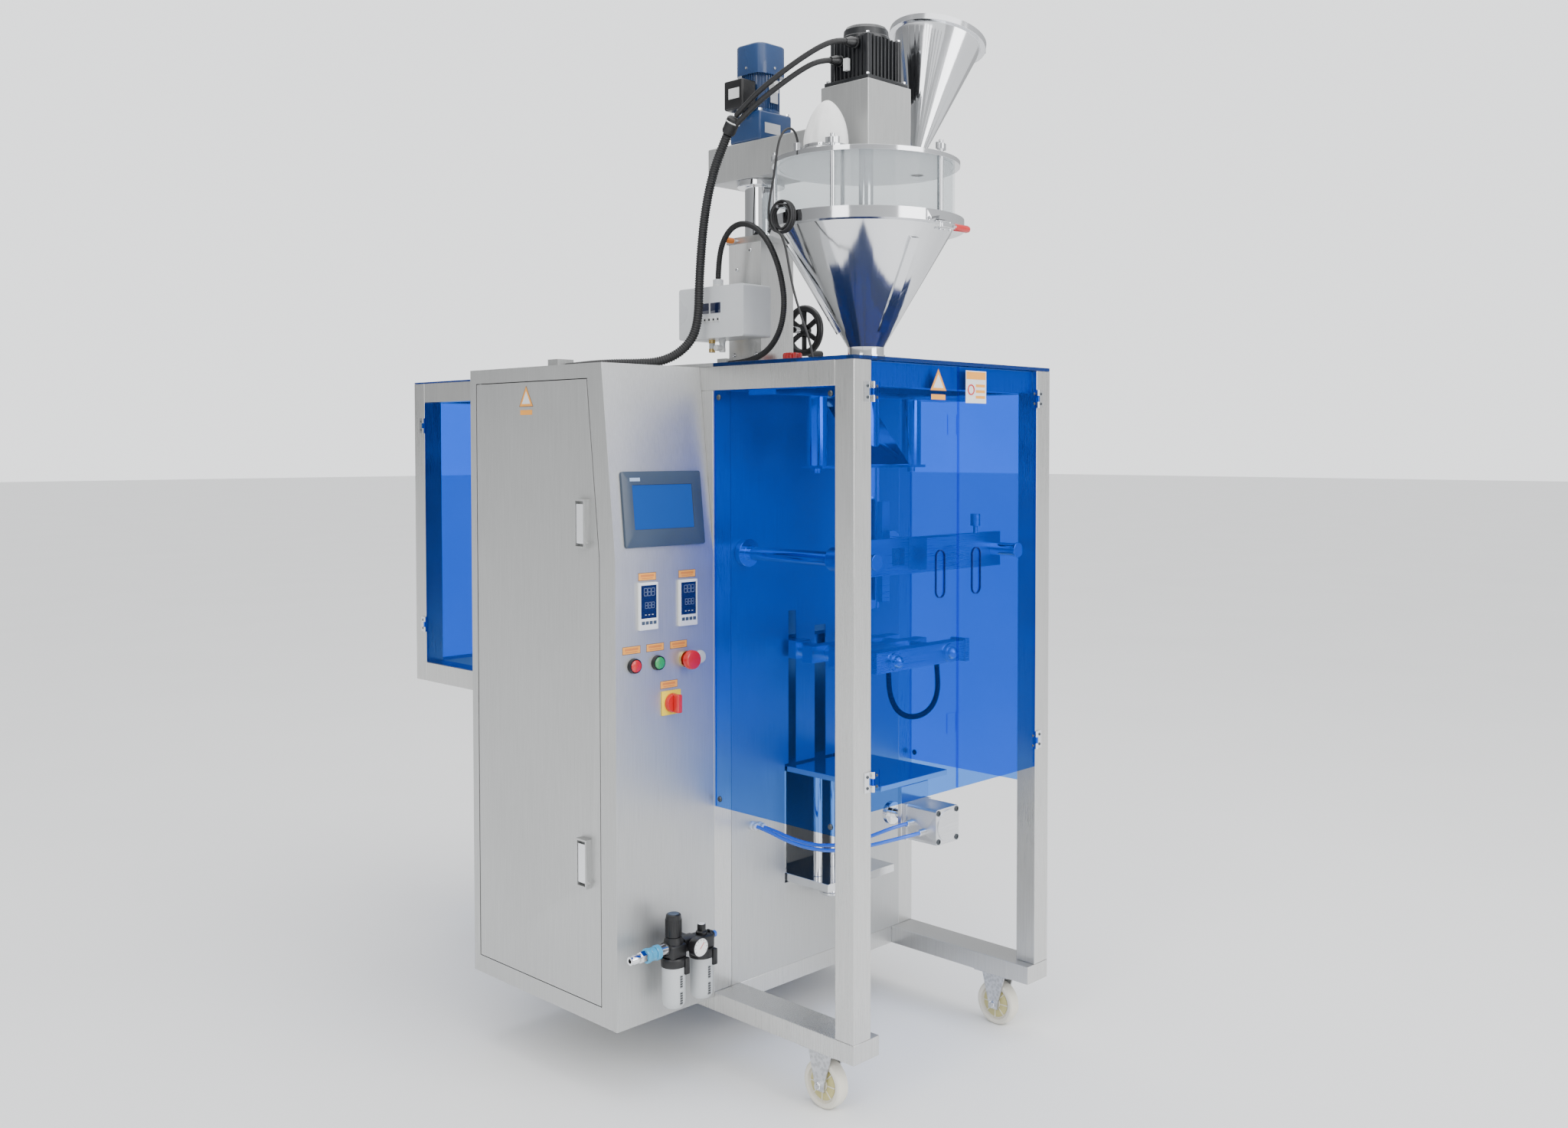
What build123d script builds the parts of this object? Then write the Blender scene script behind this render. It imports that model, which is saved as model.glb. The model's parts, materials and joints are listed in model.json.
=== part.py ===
from build123d import *
import os
from math import atan, cos, pi, sin, tan

# A vertical form fill sealer: a castored stainless frame with a control cabinet at its side, a guarded
# sealing cage in front, a film reel bay behind, and an auger filler on a lifting column above.
# Millimetres, +Z up, front towards -Y. The origin is on the floor, under the middle of the machine.
os.makedirs("parts", exist_ok=True)

# ---------------------------------------------------------------- driving dimensions
cabinet_width = 260
cage_width = 650
cage_depth = 405
body_depth = 517
reel_depth = 688
caster_height = 126
frame_height = 1375
tube = 50            # side of the square frame tube
tube_wall = 2
rail_width = 75      # floor rails
rail_height = 40
weld_gap = 0.2       # fit-up gap between welded tubes
gap = 0.3            # rest gap between neighbouring pieces
running = 0.05       # radial clearance of a pin or shaft in its bore
sheet = 2.5          # stainless sheet
acrylic = 8
door_gap = 2

cabinet_floor = 30   # cabinet's underside above the rails' underside
cabinet_border = 52  # stile round the cabinet door
panel_break = 981    # height where the control panel starts to lean back
panel_setback = 42   # how far back it leans at the top
door_bottom = 490    # lower edge of the front doors above the rails' underside
guard_bottom = 440
reel_bottom = 580

# ---------------------------------------------------------------- places worked out from them
overall_width = cabinet_width + cage_width
overall_depth = cage_depth + body_depth + reel_depth
x_left = -overall_width / 2
x_cage = x_left + cabinet_width
x_right = overall_width / 2
y_front = -overall_depth / 2
y_wall = y_front + cage_depth
y_back = y_wall + body_depth
y_rear = overall_depth / 2
z_base = caster_height
z_top = z_base + frame_height
z_cover = z_top + acrylic
axis_x = x_cage + cage_width / 2          # middle plane of the cage
axis_y = y_front + 264                    # filling axis


def block(x, y, z, mode=Mode.ADD):
    """A box from its low and high value along each axis."""
    with Locations(((x[0] + x[1]) / 2, (y[0] + y[1]) / 2, (z[0] + z[1]) / 2)):
        Box(x[1] - x[0], y[1] - y[0], z[1] - z[0], mode=mode)


def bar(start, end, radius, mode=Mode.ADD):
    """A round bar from one point to another."""
    along = Vector(*end) - Vector(*start)
    with Locations(Plane(origin=start, z_dir=along)):
        Cylinder(radius, along.length, align=(Align.CENTER, Align.CENTER, Align.MIN), mode=mode)


def box_tube(x, y, z, cap=0):
    """A square tube along the longest of its three sides, its low end closed by a cap of this thickness."""
    sides = [x, y, z]
    longest = max(range(3), key=lambda i: sides[i][1] - sides[i][0])
    bore = [(s[0] + cap, s[1]) if i == longest else (s[0] + tube_wall, s[1] - tube_wall)
            for i, s in enumerate(sides)]
    block(x, y, z)
    block(*bore, mode=Mode.SUBTRACT)


def span(middle, width):
    """Low and high value of a width about its middle."""
    return (middle - width / 2, middle + width / 2)


# ---------------------------------------------------------------- main frame
left_tube = (x_cage, x_cage + tube)
right_tube = (x_right - tube, x_right)
left_rail = (x_cage, x_cage + rail_width)
right_rail = (x_right - rail_width, x_right)
z_rail = z_base + rail_height
z_head = z_top - tube                      # underside of the top rails
z_reel = z_base + reel_bottom
mid_post = (y_wall, y_wall + tube)
back_post = (y_back - tube, y_back)
rear_post = (y_rear - tube, y_rear)
front_rail_inset = acrylic + 4
bearing_y = y_back + 260                   # film reel axis
bearing_z = z_reel + tube + 90
reel_radius = 15
bearing_width = 60
bearing_thickness = 20

with BuildPart() as main_frame:
    for rail in (left_rail, right_rail):
        box_tube(rail, (y_front, y_back), (z_base, z_rail), cap=tube_wall)
    for y in (mid_post, back_post):
        box_tube((left_rail[1] + weld_gap, right_rail[0] - weld_gap), y, (z_base, z_rail))
    for x in (left_tube, right_tube):
        box_tube(x, (y_front, y_front + tube), (z_rail + weld_gap, z_top))
        box_tube(x, mid_post, (z_rail + weld_gap, z_head - weld_gap))
        box_tube(x, back_post, (z_rail + weld_gap, z_head - weld_gap))
        box_tube(x, (y_front + tube + weld_gap, y_rear - tube - weld_gap), (z_head, z_top))
        box_tube(x, rear_post, (z_reel, z_top))
        box_tube(x, (y_back + weld_gap, y_rear - tube - weld_gap), (z_reel, z_reel + tube))
        bearing_x = span((x[0] + x[1]) / 2, bearing_thickness)
        bearing = span(bearing_y, bearing_width)
        block(bearing_x, bearing, (z_reel + tube + weld_gap, bearing_z + bearing_width / 2))
        bar((bearing_x[0], bearing_y, bearing_z), (bearing_x[1], bearing_y, bearing_z),
            reel_radius + running, mode=Mode.SUBTRACT)
    across = (left_tube[1] + weld_gap, right_tube[0] - weld_gap)
    box_tube(across, (y_front + front_rail_inset, y_front + tube), (z_head, z_top))
    box_tube(across, mid_post, (z_head, z_top))
    box_tube(across, back_post, (z_head, z_top))
    for z in ((z_head, z_top), (z_reel, z_reel + tube)):
        box_tube(across, rear_post, z)
    for k in (1, 2):                       # fixed bars that the film runs over
        film_y = y_back + k * reel_depth / 3
        bar((across[0] + sheet + weld_gap, film_y, z_head - 60 * k),
            (across[1] - sheet - weld_gap, film_y, z_head - 60 * k), reel_radius)
        for x in (across[0], across[1] - sheet):
            block((x, x + sheet), span(film_y, tube), (z_head - 60 * k, z_top - tube_wall))
main_frame.part.label = "main_frame"
export_step(main_frame.part, "parts/main_frame.step")

# ---------------------------------------------------------------- wall, side, back and top panels of the body
slide_pitch = 180            # between the two jaw guide slots
slot_width = 24
slot_low, slot_high = z_base + 488, z_base + 840
drive_slot_width = 36
drive_slot_high = z_base + 800
recess_half = 114            # opening for the stroke frame
recess_low, recess_high = z_base + 228, z_base + 496
column_width, column_depth = 105, 110
column_y = y_front + 599
column_stud = 4              # stud of the column's clamp knob
stud_length = 36
knob_y = y_wall + 95
hose_entry = (axis_x - 100, y_front + 600)      # elbow on the top plate where the box's hose goes in
hose_exits = [(x_cage + 112, z_base + 377), (x_cage + 134, z_base + 372)]
hose_fitting = 14
inner_x = (left_tube[1] + gap, right_tube[0] - gap)

with BuildPart() as body_panels:
    block(inner_x, (y_wall, y_wall + sheet), (z_rail + gap, z_head - gap))
    for side in (-1, 1):
        block(span(axis_x + side * slide_pitch / 2, slot_width), (y_wall - 1, y_wall + sheet + 1),
              (slot_low, slot_high), mode=Mode.SUBTRACT)
    block(span(axis_x, drive_slot_width), (y_wall - 1, y_wall + sheet + 1), (slot_low, drive_slot_high),
          mode=Mode.SUBTRACT)
    block(span(axis_x, 2 * recess_half), (y_wall - 1, y_wall + sheet + 1), (recess_low, recess_high),
          mode=Mode.SUBTRACT)
    block((x_right - sheet - 1, x_right - 1), (mid_post[1] + gap, back_post[0] - gap), (z_rail + gap, z_head - gap))
    block(inner_x, (y_back - sheet - 1, y_back - 1), (z_rail + gap, z_reel))
    block((x_cage, x_right), (y_wall, y_back), (z_top + gap, z_cover))
    bar((axis_x + 6, knob_y, z_cover - 1), (axis_x + 6, knob_y, z_cover + stud_length), column_stud)
    block(span(hose_entry[0], 24), (hose_entry[1], hose_entry[1] + 30), (z_cover, z_cover + 28))
    for x, z in hose_exits:
        bar((x, y_wall - hose_fitting, z), (x, y_wall, z), 8)
body_panels.part.label = "body_panels"
export_step(body_panels.part, "parts/body_panels.step")

# ---------------------------------------------------------------- acrylic covers and fixed guards
neck_radius = 40
cover_hole = neck_radius + 6
guard = 5
guard_inset = 4
cage_opening = (y_front + tube + gap, y_wall - gap)
reel_opening = (y_back + gap, y_rear - tube - gap)

with BuildPart() as top_covers:
    block((x_cage, x_right), (y_front, y_wall - gap), (z_top + gap, z_cover))
    bar((axis_x, axis_y, z_top), (axis_x, axis_y, z_cover), cover_hole, mode=Mode.SUBTRACT)
    block((x_cage, x_right), (y_back + gap, y_rear), (z_top + gap, z_top + acrylic / 2))
top_covers.part.label = "top_covers"
export_step(top_covers.part, "parts/top_covers.step")

with BuildPart() as guard_panels:
    for x in (x_cage + guard_inset, x_right - guard_inset - guard):
        block((x, x + guard), cage_opening, (z_base + guard_bottom, z_head - gap))
    x = x_right - guard_inset - guard
    block((x, x + guard), reel_opening, (z_reel + tube + gap, z_head - gap))
    y = y_rear - guard_inset - guard
    block(inner_x, (y, y + guard), (z_reel + tube + gap, z_head - gap))
guard_panels.part.label = "guard_panels"
export_step(guard_panels.part, "parts/guard_panels.step")

# ---------------------------------------------------------------- hinges
hinge_height = 40
knuckle = 4
hinge_pin = 2
leaf = 2
leaf_length = 22
leaf_start = 4.6             # where a leaf clears the other leaf's knuckle
hinge_stand = knuckle + gap  # hinge axis in front of the panel's face
third = hinge_height / 3
hinge_inset = 60             # lowest and highest hinge from the ends of a door


def hinge_half(x, y, z, along, out, knuckles, pinned):
    """Half of a butt hinge: its leaf runs along `along` on a face whose outward normal is `out`."""
    frame = Plane(origin=(x, y, z), x_dir=along, z_dir=(0, 0, 1))
    side = 1 if (frame.y_dir - Vector(*out)).length < 1 else -1
    face = sorted((-side * hinge_stand, -side * (hinge_stand - leaf)))
    with Locations(frame):
        with Locations(((leaf_start + leaf_length) / 2, sum(face) / 2, 0)):
            Box(leaf_length - leaf_start, leaf, hinge_height)
        for low, high in knuckles:
            with Locations((leaf_start / 2, sum(face) / 2, (low + high) / 2)):
                Box(leaf_start, leaf, high - low)
            with Locations((0, 0, (low + high) / 2)):
                Cylinder(knuckle, high - low)
                if not pinned:
                    Cylinder(hinge_pin + running, high - low, mode=Mode.SUBTRACT)
        if pinned:
            Cylinder(hinge_pin, hinge_height)


outer_knuckles = ((-hinge_height / 2, -third / 2 - gap), (third / 2 + gap, hinge_height / 2))
inner_knuckle = ((-third / 2, third / 2),)
z_door = (z_base + door_bottom, z_top - door_gap)
hinge_levels = (z_door[0] + hinge_inset, z_door[1] - hinge_inset)
left_axis = (x_cage + tube + door_gap / 2, y_front - hinge_stand)
right_axis = (x_right - tube - door_gap / 2, y_front - hinge_stand)
z_reel_door = (z_reel + tube + door_gap, z_head - door_gap)
reel_levels = (z_reel_door[0] + hinge_inset + hinge_height, z_reel_door[1] - hinge_inset)
reel_axis = (x_cage - hinge_stand, y_rear - tube - door_gap / 2)
front, outward = (0, -1, 0), (-1, 0, 0)

with BuildPart() as hinge_leaves:
    for z in hinge_levels:
        hinge_half(*left_axis, z, (-1, 0, 0), front, outer_knuckles, True)
        hinge_half(*right_axis, z, (1, 0, 0), front, outer_knuckles, True)
    for z in reel_levels:
        hinge_half(*reel_axis, z, (0, 1, 0), outward, outer_knuckles, True)
hinge_leaves.part.label = "hinge_leaves"
export_step(hinge_leaves.part, "parts/hinge_leaves.step")

# ---------------------------------------------------------------- front doors and reel bay door
finger_width, finger_height = 30, 100
finger_offset = 60           # finger slot from the split between the doors
finger_z = z_base + 944
catch = (26, 3, 42)          # catch plate on a door's inner face
catch_levels = (z_base + 628, z_base + 1252)


def front_door(side, hinge_x):
    """Acrylic sheet from beside its post to the split, with a finger slot, hinge leaves and catch plates."""
    edges = sorted((axis_x + side * door_gap / 2, hinge_x - side * door_gap / 2))
    block(edges, (y_front, y_front + acrylic), z_door)
    with BuildSketch(Plane.XZ.offset(-y_front)) as finger_slot:
        with Locations((axis_x + side * finger_offset, finger_z)):
            SlotOverall(finger_height, finger_width, rotation=90)
    extrude(finger_slot.sketch, amount=-acrylic, mode=Mode.SUBTRACT)
    for z in hinge_levels:
        hinge_half(hinge_x, y_front - hinge_stand, z, (-side, 0, 0), front, inner_knuckle, False)
    for z in catch_levels:
        block(span(axis_x + side * (catch[0] / 2 + door_gap), catch[0]),
              (y_front + acrylic, y_front + acrylic + catch[1]), span(z, catch[2]))


with BuildPart() as left_door:
    front_door(-1, left_axis[0])
left_door.part.label = "left_door"
export_step(left_door.part, "parts/left_door.step")

with BuildPart() as right_door:
    front_door(1, right_axis[0])
right_door.part.label = "right_door"
export_step(right_door.part, "parts/right_door.step")

with BuildPart() as reel_door:
    block((x_cage, x_cage + acrylic), (y_back + door_gap, reel_axis[1] - door_gap / 2), z_reel_door)
    for z in reel_levels:
        hinge_half(*reel_axis, z, (0, -1, 0), outward, inner_knuckle, False)
reel_door.part.label = "reel_door"
export_step(reel_door.part, "parts/reel_door.step")

# ---------------------------------------------------------------- control cabinet
z_cabinet = z_base + cabinet_floor
z_break = z_base + panel_break
lean = atan(panel_setback / (z_top - z_break))
door_frame_low = z_base + 70
door_frame_high = z_base + 1343
door_back_y = y_back - 26
door_pan = 20
pivot_pin = 3
pivot_inset = pivot_pin + sheet + 1
hinge_side_gap = 3.5      # lets the door's outer corner swing past the stile
panel_normal = (0, -cos(lean), sin(lean))


def lean_at(z):
    """How far the panel leans back at a height."""
    return max(0, (z - z_break) * tan(lean))


def side_outline(inset):
    """The cabinet's side profile, in the YZ plane, drawn in by `inset`."""
    low, high = z_cabinet + inset, z_top - inset
    Polyline((y_wall + inset, low), (y_back - inset, low), (y_back - inset, high),
             (y_wall + inset + lean_at(high), high), (y_wall + inset, z_break), close=True)


def door_outline(grow):
    """The side door's outline, with its front edge parallel to the panel."""
    low, high = door_frame_low - grow, door_frame_high + grow
    edge = y_wall + cabinet_border - grow
    Polyline((edge, low), (door_back_y + grow, low), (door_back_y + grow, high),
             (edge + lean_at(high), high), (edge, z_break), close=True)


hmi_x, hmi_z = x_cage - 130, z_base + 1079
hmi_size = (209, 154)
instrument_size = (48, 96)
instruments = [(x_cage - 179, z_base + 883), (x_cage - 73.5, z_base + 882.5)]
button_hole = 11
stop_x, start_x, estop_x, lamp_x = x_cage - 215, x_cage - 154, x_cage - 79, x_cage - 39
button_z = z_base + 765
switch_x, switch_z = x_cage - 119, z_base + 679
face = Plane.XZ.offset(-y_wall)            # sketches on the upright part of the panel
hmi_face = Plane(origin=(hmi_x, y_wall + lean_at(hmi_z), hmi_z), x_dir=(1, 0, 0), z_dir=panel_normal)
cut_depth = 2 * sheet + 3
body_margin = 8                            # an instrument's body is this much smaller than its bezel

with BuildPart() as cabinet_shell:
    with BuildSketch(Plane.YZ.offset(x_left)):
        with BuildLine():
            side_outline(0)
        make_face()
    extrude(amount=cabinet_width - gap)
    with BuildSketch(Plane.YZ.offset(x_left + sheet)):
        with BuildLine():
            side_outline(sheet)
        make_face()
    extrude(amount=cabinet_width - gap - 2 * sheet, mode=Mode.SUBTRACT)
    with BuildSketch(Plane.YZ.offset(x_left)):
        with BuildLine():
            door_outline(door_gap)
        make_face()
    extrude(amount=sheet, mode=Mode.SUBTRACT)
    block((x_left - 1, x_left + sheet + 1), (door_back_y, door_back_y + hinge_side_gap),
          (door_frame_low - door_gap, door_frame_high + door_gap), mode=Mode.SUBTRACT)
    with BuildSketch(hmi_face):
        Rectangle(hmi_size[0] - 2 * body_margin, hmi_size[1] - 2 * body_margin)
    extrude(amount=-cut_depth, mode=Mode.SUBTRACT)
    with BuildSketch(face):
        with Locations(*instruments):
            Rectangle(instrument_size[0] - body_margin, instrument_size[1] - body_margin)
        with Locations((stop_x, button_z), (start_x, button_z), (estop_x, button_z), (switch_x, switch_z)):
            Circle(button_hole)
    extrude(amount=-cut_depth, mode=Mode.SUBTRACT)
    for z in (door_frame_low - door_gap, door_frame_high + door_gap):   # pivot pins of the door
        into = 1 if z < z_break else -1
        lug = sorted((z, z - into * 8))
        block((x_left + 1, x_left + door_pan), (door_back_y - 12, door_back_y + door_gap), lug)
        bar((x_left + pivot_inset, door_back_y - pivot_inset, z),
            (x_left + pivot_inset, door_back_y - pivot_inset, z + into * 12), pivot_pin)
    block(span(x_left + 223, 44), (y_back - 48, y_back - 8), (z_top, z_top + 34))      # conduit entry
cabinet_shell.part.label = "cabinet_shell"
export_step(cabinet_shell.part, "parts/cabinet_shell.step")

# ---------------------------------------------------------------- cabinet door and its swing handles
handle_levels = (z_base + 356, z_base + 1050)
handle_y = y_wall + cabinet_border + 48
handle_width, handle_height, handle_depth = 35, 100, 13
lever_width, lever_thick, lever_length = 24, 8, 78
lever_pin = 2
lever_foot = 12                             # pivot above the escutcheon's lower edge
pivot_x, pivot_y = x_left + pivot_inset, door_back_y - pivot_inset

with BuildPart() as cabinet_door:
    with BuildSketch(Plane.YZ.offset(x_left)):
        with BuildLine():
            door_outline(0)
        make_face()
    extrude(amount=door_pan)
    with BuildSketch(Plane.YZ.offset(x_left + sheet)):
        with BuildLine():
            door_outline(-sheet)
        make_face()
    extrude(amount=door_pan, mode=Mode.SUBTRACT)
    for z in (door_frame_low, door_frame_high - sheet):
        bar((pivot_x, pivot_y, z - 1), (pivot_x, pivot_y, z + sheet + 1), pivot_pin + running, mode=Mode.SUBTRACT)
    for z in handle_levels:                 # escutcheon with a recess for the lever
        block((x_left - handle_depth, x_left), span(handle_y, handle_width), span(z, handle_height))
        block((x_left - handle_depth - 1, x_left - 2), span(handle_y, lever_width + 2),
              (z - handle_height / 2 + 4, z + handle_height / 2 - 4), mode=Mode.SUBTRACT)
        pivot = (x_left - handle_depth / 2 - 1, z - handle_height / 2 + lever_foot)
        bar((pivot[0], handle_y - lever_width, pivot[1]), (pivot[0], handle_y + lever_width, pivot[1]), lever_pin)
cabinet_door.part.label = "cabinet_door"
export_step(cabinet_door.part, "parts/cabinet_door.step")


def handle_lever(z):
    """Flat lever on the pin at its round foot."""
    pivot = (x_left - handle_depth / 2 - 1, z - handle_height / 2 + lever_foot)
    block(span(pivot[0], lever_thick), span(handle_y, lever_width), (pivot[1], pivot[1] + lever_length))
    bar((pivot[0], handle_y - lever_width / 2, pivot[1]), (pivot[0], handle_y + lever_width / 2, pivot[1]),
        lever_thick / 2)
    bar((pivot[0], handle_y - lever_width, pivot[1]), (pivot[0], handle_y + lever_width, pivot[1]),
        lever_pin + running, mode=Mode.SUBTRACT)


with BuildPart() as lower_handle:
    handle_lever(handle_levels[0])
lower_handle.part.label = "lower_handle"
export_step(lower_handle.part, "parts/lower_handle.step")

with BuildPart() as upper_handle:
    handle_lever(handle_levels[1])
upper_handle.part.label = "upper_handle"
export_step(upper_handle.part, "parts/upper_handle.step")

# ---------------------------------------------------------------- control gear inside the cabinet
plate_x = x_cage - gap - sheet - 15
with BuildPart() as control_gear:
    block((plate_x - sheet, plate_x), (y_wall + 110, y_back - 60), (z_cabinet + 120, z_top - 160))
    for y in (y_wall + 140, y_back - 90):
        for z in (z_cabinet + 160, z_top - 200):
            bar((plate_x, y, z), (x_cage - sheet - 2 * gap, y, z), 6)
    for row, (depth, height) in enumerate(((130, 160), (110, 120), (70, 90), (60, 80))):
        z = z_top - 260 - row * 230
        for k in range(3):
            y = y_wall + 130 + k * 105
            block((plate_x - sheet - depth, plate_x - sheet), (y, y + 85), span(z, height))
control_gear.part.label = "control_gear"
export_step(control_gear.part, "parts/control_gear.step")

# ---------------------------------------------------------------- instruments and controls on the panel
bezel = 6
collar = 15
plunger = 8
collar_depth = 6
body_depth_behind = 26
switch_plate = 50
switch_plate_depth = 4
switch_shaft = 5

with BuildPart() as panel_instruments:
    with BuildSketch(hmi_face):
        RectangleRounded(*hmi_size, 5)
    extrude(amount=bezel)
    with BuildSketch(hmi_face):
        Rectangle(hmi_size[0] - 2 * body_margin - 1, hmi_size[1] - 2 * body_margin - 1)
    extrude(amount=-30)
    with BuildSketch(face):
        with Locations(*instruments):
            Rectangle(*instrument_size)
    extrude(amount=bezel)
    with BuildSketch(face):
        with Locations(*instruments):
            Rectangle(instrument_size[0] - body_margin - 1, instrument_size[1] - body_margin - 1)
    extrude(amount=-60)
    for x in (stop_x, start_x, estop_x):
        bar((x, y_wall - collar_depth, button_z), (x, y_wall, button_z), collar)
        bar((x, y_wall, button_z), (x, y_wall + body_depth_behind, button_z), button_hole - gap)
        bar((x, y_wall - collar_depth, button_z), (x, y_wall + body_depth_behind, button_z), plunger + running,
            mode=Mode.SUBTRACT)
    bar((lamp_x, y_wall - collar_depth - 2, button_z), (lamp_x, y_wall, button_z), collar - 2)
    block(span(switch_x, switch_plate), (y_wall - switch_plate_depth, y_wall), span(switch_z, switch_plate))
    bar((switch_x, y_wall, switch_z), (switch_x, y_wall + body_depth_behind, switch_z), button_hole - gap)
    bar((switch_x, y_wall - switch_plate_depth, switch_z), (switch_x, y_wall + body_depth_behind, switch_z),
        switch_shaft + running, mode=Mode.SUBTRACT)
panel_instruments.part.label = "panel_instruments"
export_step(panel_instruments.part, "parts/panel_instruments.step")

button_travel = 4
with BuildPart() as stop_button:
    bar((stop_x, y_wall - collar_depth - button_travel, button_z), (stop_x, y_wall + 10, button_z), plunger)
stop_button.part.label = "stop_button"
export_step(stop_button.part, "parts/stop_button.step")

with BuildPart() as start_button:
    bar((start_x, y_wall - collar_depth - button_travel, button_z), (start_x, y_wall + 10, button_z), plunger)
start_button.part.label = "start_button"
export_step(start_button.part, "parts/start_button.step")

mushroom = 20
with BuildPart() as emergency_stop:
    bar((estop_x, y_wall - collar_depth - 12, button_z), (estop_x, y_wall + 10, button_z), plunger)
    bar((estop_x, y_wall - collar_depth - 24, button_z), (estop_x, y_wall - collar_depth - 10, button_z), mushroom)
    fillet(emergency_stop.edges().filter_by(GeomType.CIRCLE).sort_by(Axis.Y)[0], 6)
emergency_stop.part.label = "emergency_stop"
export_step(emergency_stop.part, "parts/emergency_stop.step")

with BuildPart() as switch_knob:
    bar((switch_x, y_wall - switch_plate_depth - 12, switch_z), (switch_x, y_wall + 15, switch_z), switch_shaft)
    bar((switch_x, y_wall - switch_plate_depth - 12, switch_z), (switch_x, y_wall - switch_plate_depth - gap, switch_z),
        mushroom)
    block(span(switch_x, 12), (y_wall - switch_plate_depth - 28, y_wall - switch_plate_depth - 10),
          span(switch_z, 2 * mushroom - 2))
switch_knob.part.label = "switch_knob"
export_step(switch_knob.part, "parts/switch_knob.step")

# ---------------------------------------------------------------- air service unit on the panel
air_y = y_wall - 50
filter_x, oiler_x = x_cage - 155, x_cage - 80
bowl = 24
bowl_low, bowl_high = z_base + 66, z_base + 156
air_body_high = z_base + 212
knob_radius, knob_height = 17, 48
air_z = z_base + 190
gauge_x = x_cage - 119
gauge_radius = 20
stem = 4

with BuildPart() as air_unit:
    for x in (filter_x, oiler_x):
        bar((x, air_y, bowl_low), (x, air_y, bowl_high), bowl)
        bar((x, air_y, bowl_high), (x, air_y, bowl_high + 14), bowl + 2)
        block(span(x, 40), span(air_y, 40), (bowl_high + 14, air_body_high - 14))
    bar((filter_x, air_y, air_body_high - 14), (filter_x, air_y, air_body_high), 18)
    bar((filter_x, air_y, air_z), (filter_x, air_y, air_body_high + 1), stem + running, mode=Mode.SUBTRACT)
    bar((oiler_x, air_y, air_body_high - 14), (oiler_x, air_y, air_body_high + 8), 10)
    block((filter_x + 20, oiler_x - 20), span(air_y, 30), span(air_z, 26))
    bar((gauge_x, air_y - 15, air_z), (gauge_x, air_y - 25, air_z), 7)
    bar((gauge_x, air_y - 45, air_z), (gauge_x, air_y - 25, air_z), gauge_radius)
    block(span(gauge_x, 30), (air_y + 15, y_wall), span(air_z, 20))      # wall bracket
    for start, end, radius in ((20, 40, 9), (40, 78, 14), (78, 96, 11), (96, 112, 8)):   # quick coupling
        bar((filter_x - start, air_y, air_z), (filter_x - end, air_y, air_z), radius)
    bar((oiler_x + 20, air_y, air_z), (oiler_x + 38, air_y, air_z), 9)
air_unit.part.label = "air_unit"
export_step(air_unit.part, "parts/air_unit.step")

with BuildPart() as regulator_knob:
    bar((filter_x, air_y, air_body_high + gap), (filter_x, air_y, air_body_high + knob_height), knob_radius)
    bar((filter_x, air_y, air_z + 2), (filter_x, air_y, air_body_high + knob_height), stem)
regulator_knob.part.label = "regulator_knob"
export_step(regulator_knob.part, "parts/regulator_knob.step")

# ---------------------------------------------------------------- former: hangers, plate and forming tube
form_radius = 30
form_wall = 1.5
form_bottom = z_base + 850
hanger_spacing = 310
hanger_radius = 22
hanger_plate_z = z_base + 1160
hanger_plate = (340, 60, 6)
beam_thickness = 12
nut_height = 10
collar_slant = 50
collar_size = (150, 190)
collar_z = z_base + 1240
filler_tube = 25             # auger tube, outside

with BuildPart() as former:
    block((x_cage + guard_inset + guard + gap, x_right - guard_inset - guard - gap), span(axis_y, 80),
          (z_head - gap - beam_thickness, z_head - gap))
    for side in (-1, 1):
        x = axis_x + side * hanger_spacing / 2
        bar((x, axis_y, hanger_plate_z + hanger_plate[2]), (x, axis_y, z_head - gap - beam_thickness), hanger_radius)
        bar((x, axis_y, hanger_plate_z - nut_height), (x, axis_y, hanger_plate_z), 9)
    block(span(axis_x, hanger_plate[0]), span(axis_y, hanger_plate[1]),
          (hanger_plate_z, hanger_plate_z + hanger_plate[2]))
    with Locations(Plane(origin=(axis_x, axis_y, collar_z), x_dir=(1, 0, 0),
                         z_dir=(0, -sin(collar_slant * pi / 180), cos(collar_slant * pi / 180)))):
        Box(*collar_size, sheet)
    bar((axis_x, axis_y, form_bottom), (axis_x, axis_y, z_head - gap), form_radius)
    bar((axis_x, axis_y, form_bottom - 1), (axis_x, axis_y, z_top), form_radius - form_wall, mode=Mode.SUBTRACT)
former.part.label = "former"
export_step(former.part, "parts/former.step")

# ---------------------------------------------------------------- slide frame: guide rods, plates and cross bars
guide_radius = 10
guide_y = y_wall + 33
guide_top = z_base + 880
plate_low = z_base + 232
plate_low_thick = 18
plate_high = z_base + 480
plate_high_thick = 12
plate_half = 110
plate_back = guide_y + 20
plate_low_front = y_wall - 130
plate_high_front = y_wall - 285
front_rod_x, front_rod_y = 75, y_wall - 65
screw_y = y_wall - 38
screw_radius = 6
sealer_bar = 15
sealer_pitch = 470           # between the two sealer guide bars
sealer_z = z_base + 977
sealer_bar_front = y_front + 25
clamp_z = z_base + 405
hanging_plate = 10

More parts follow.
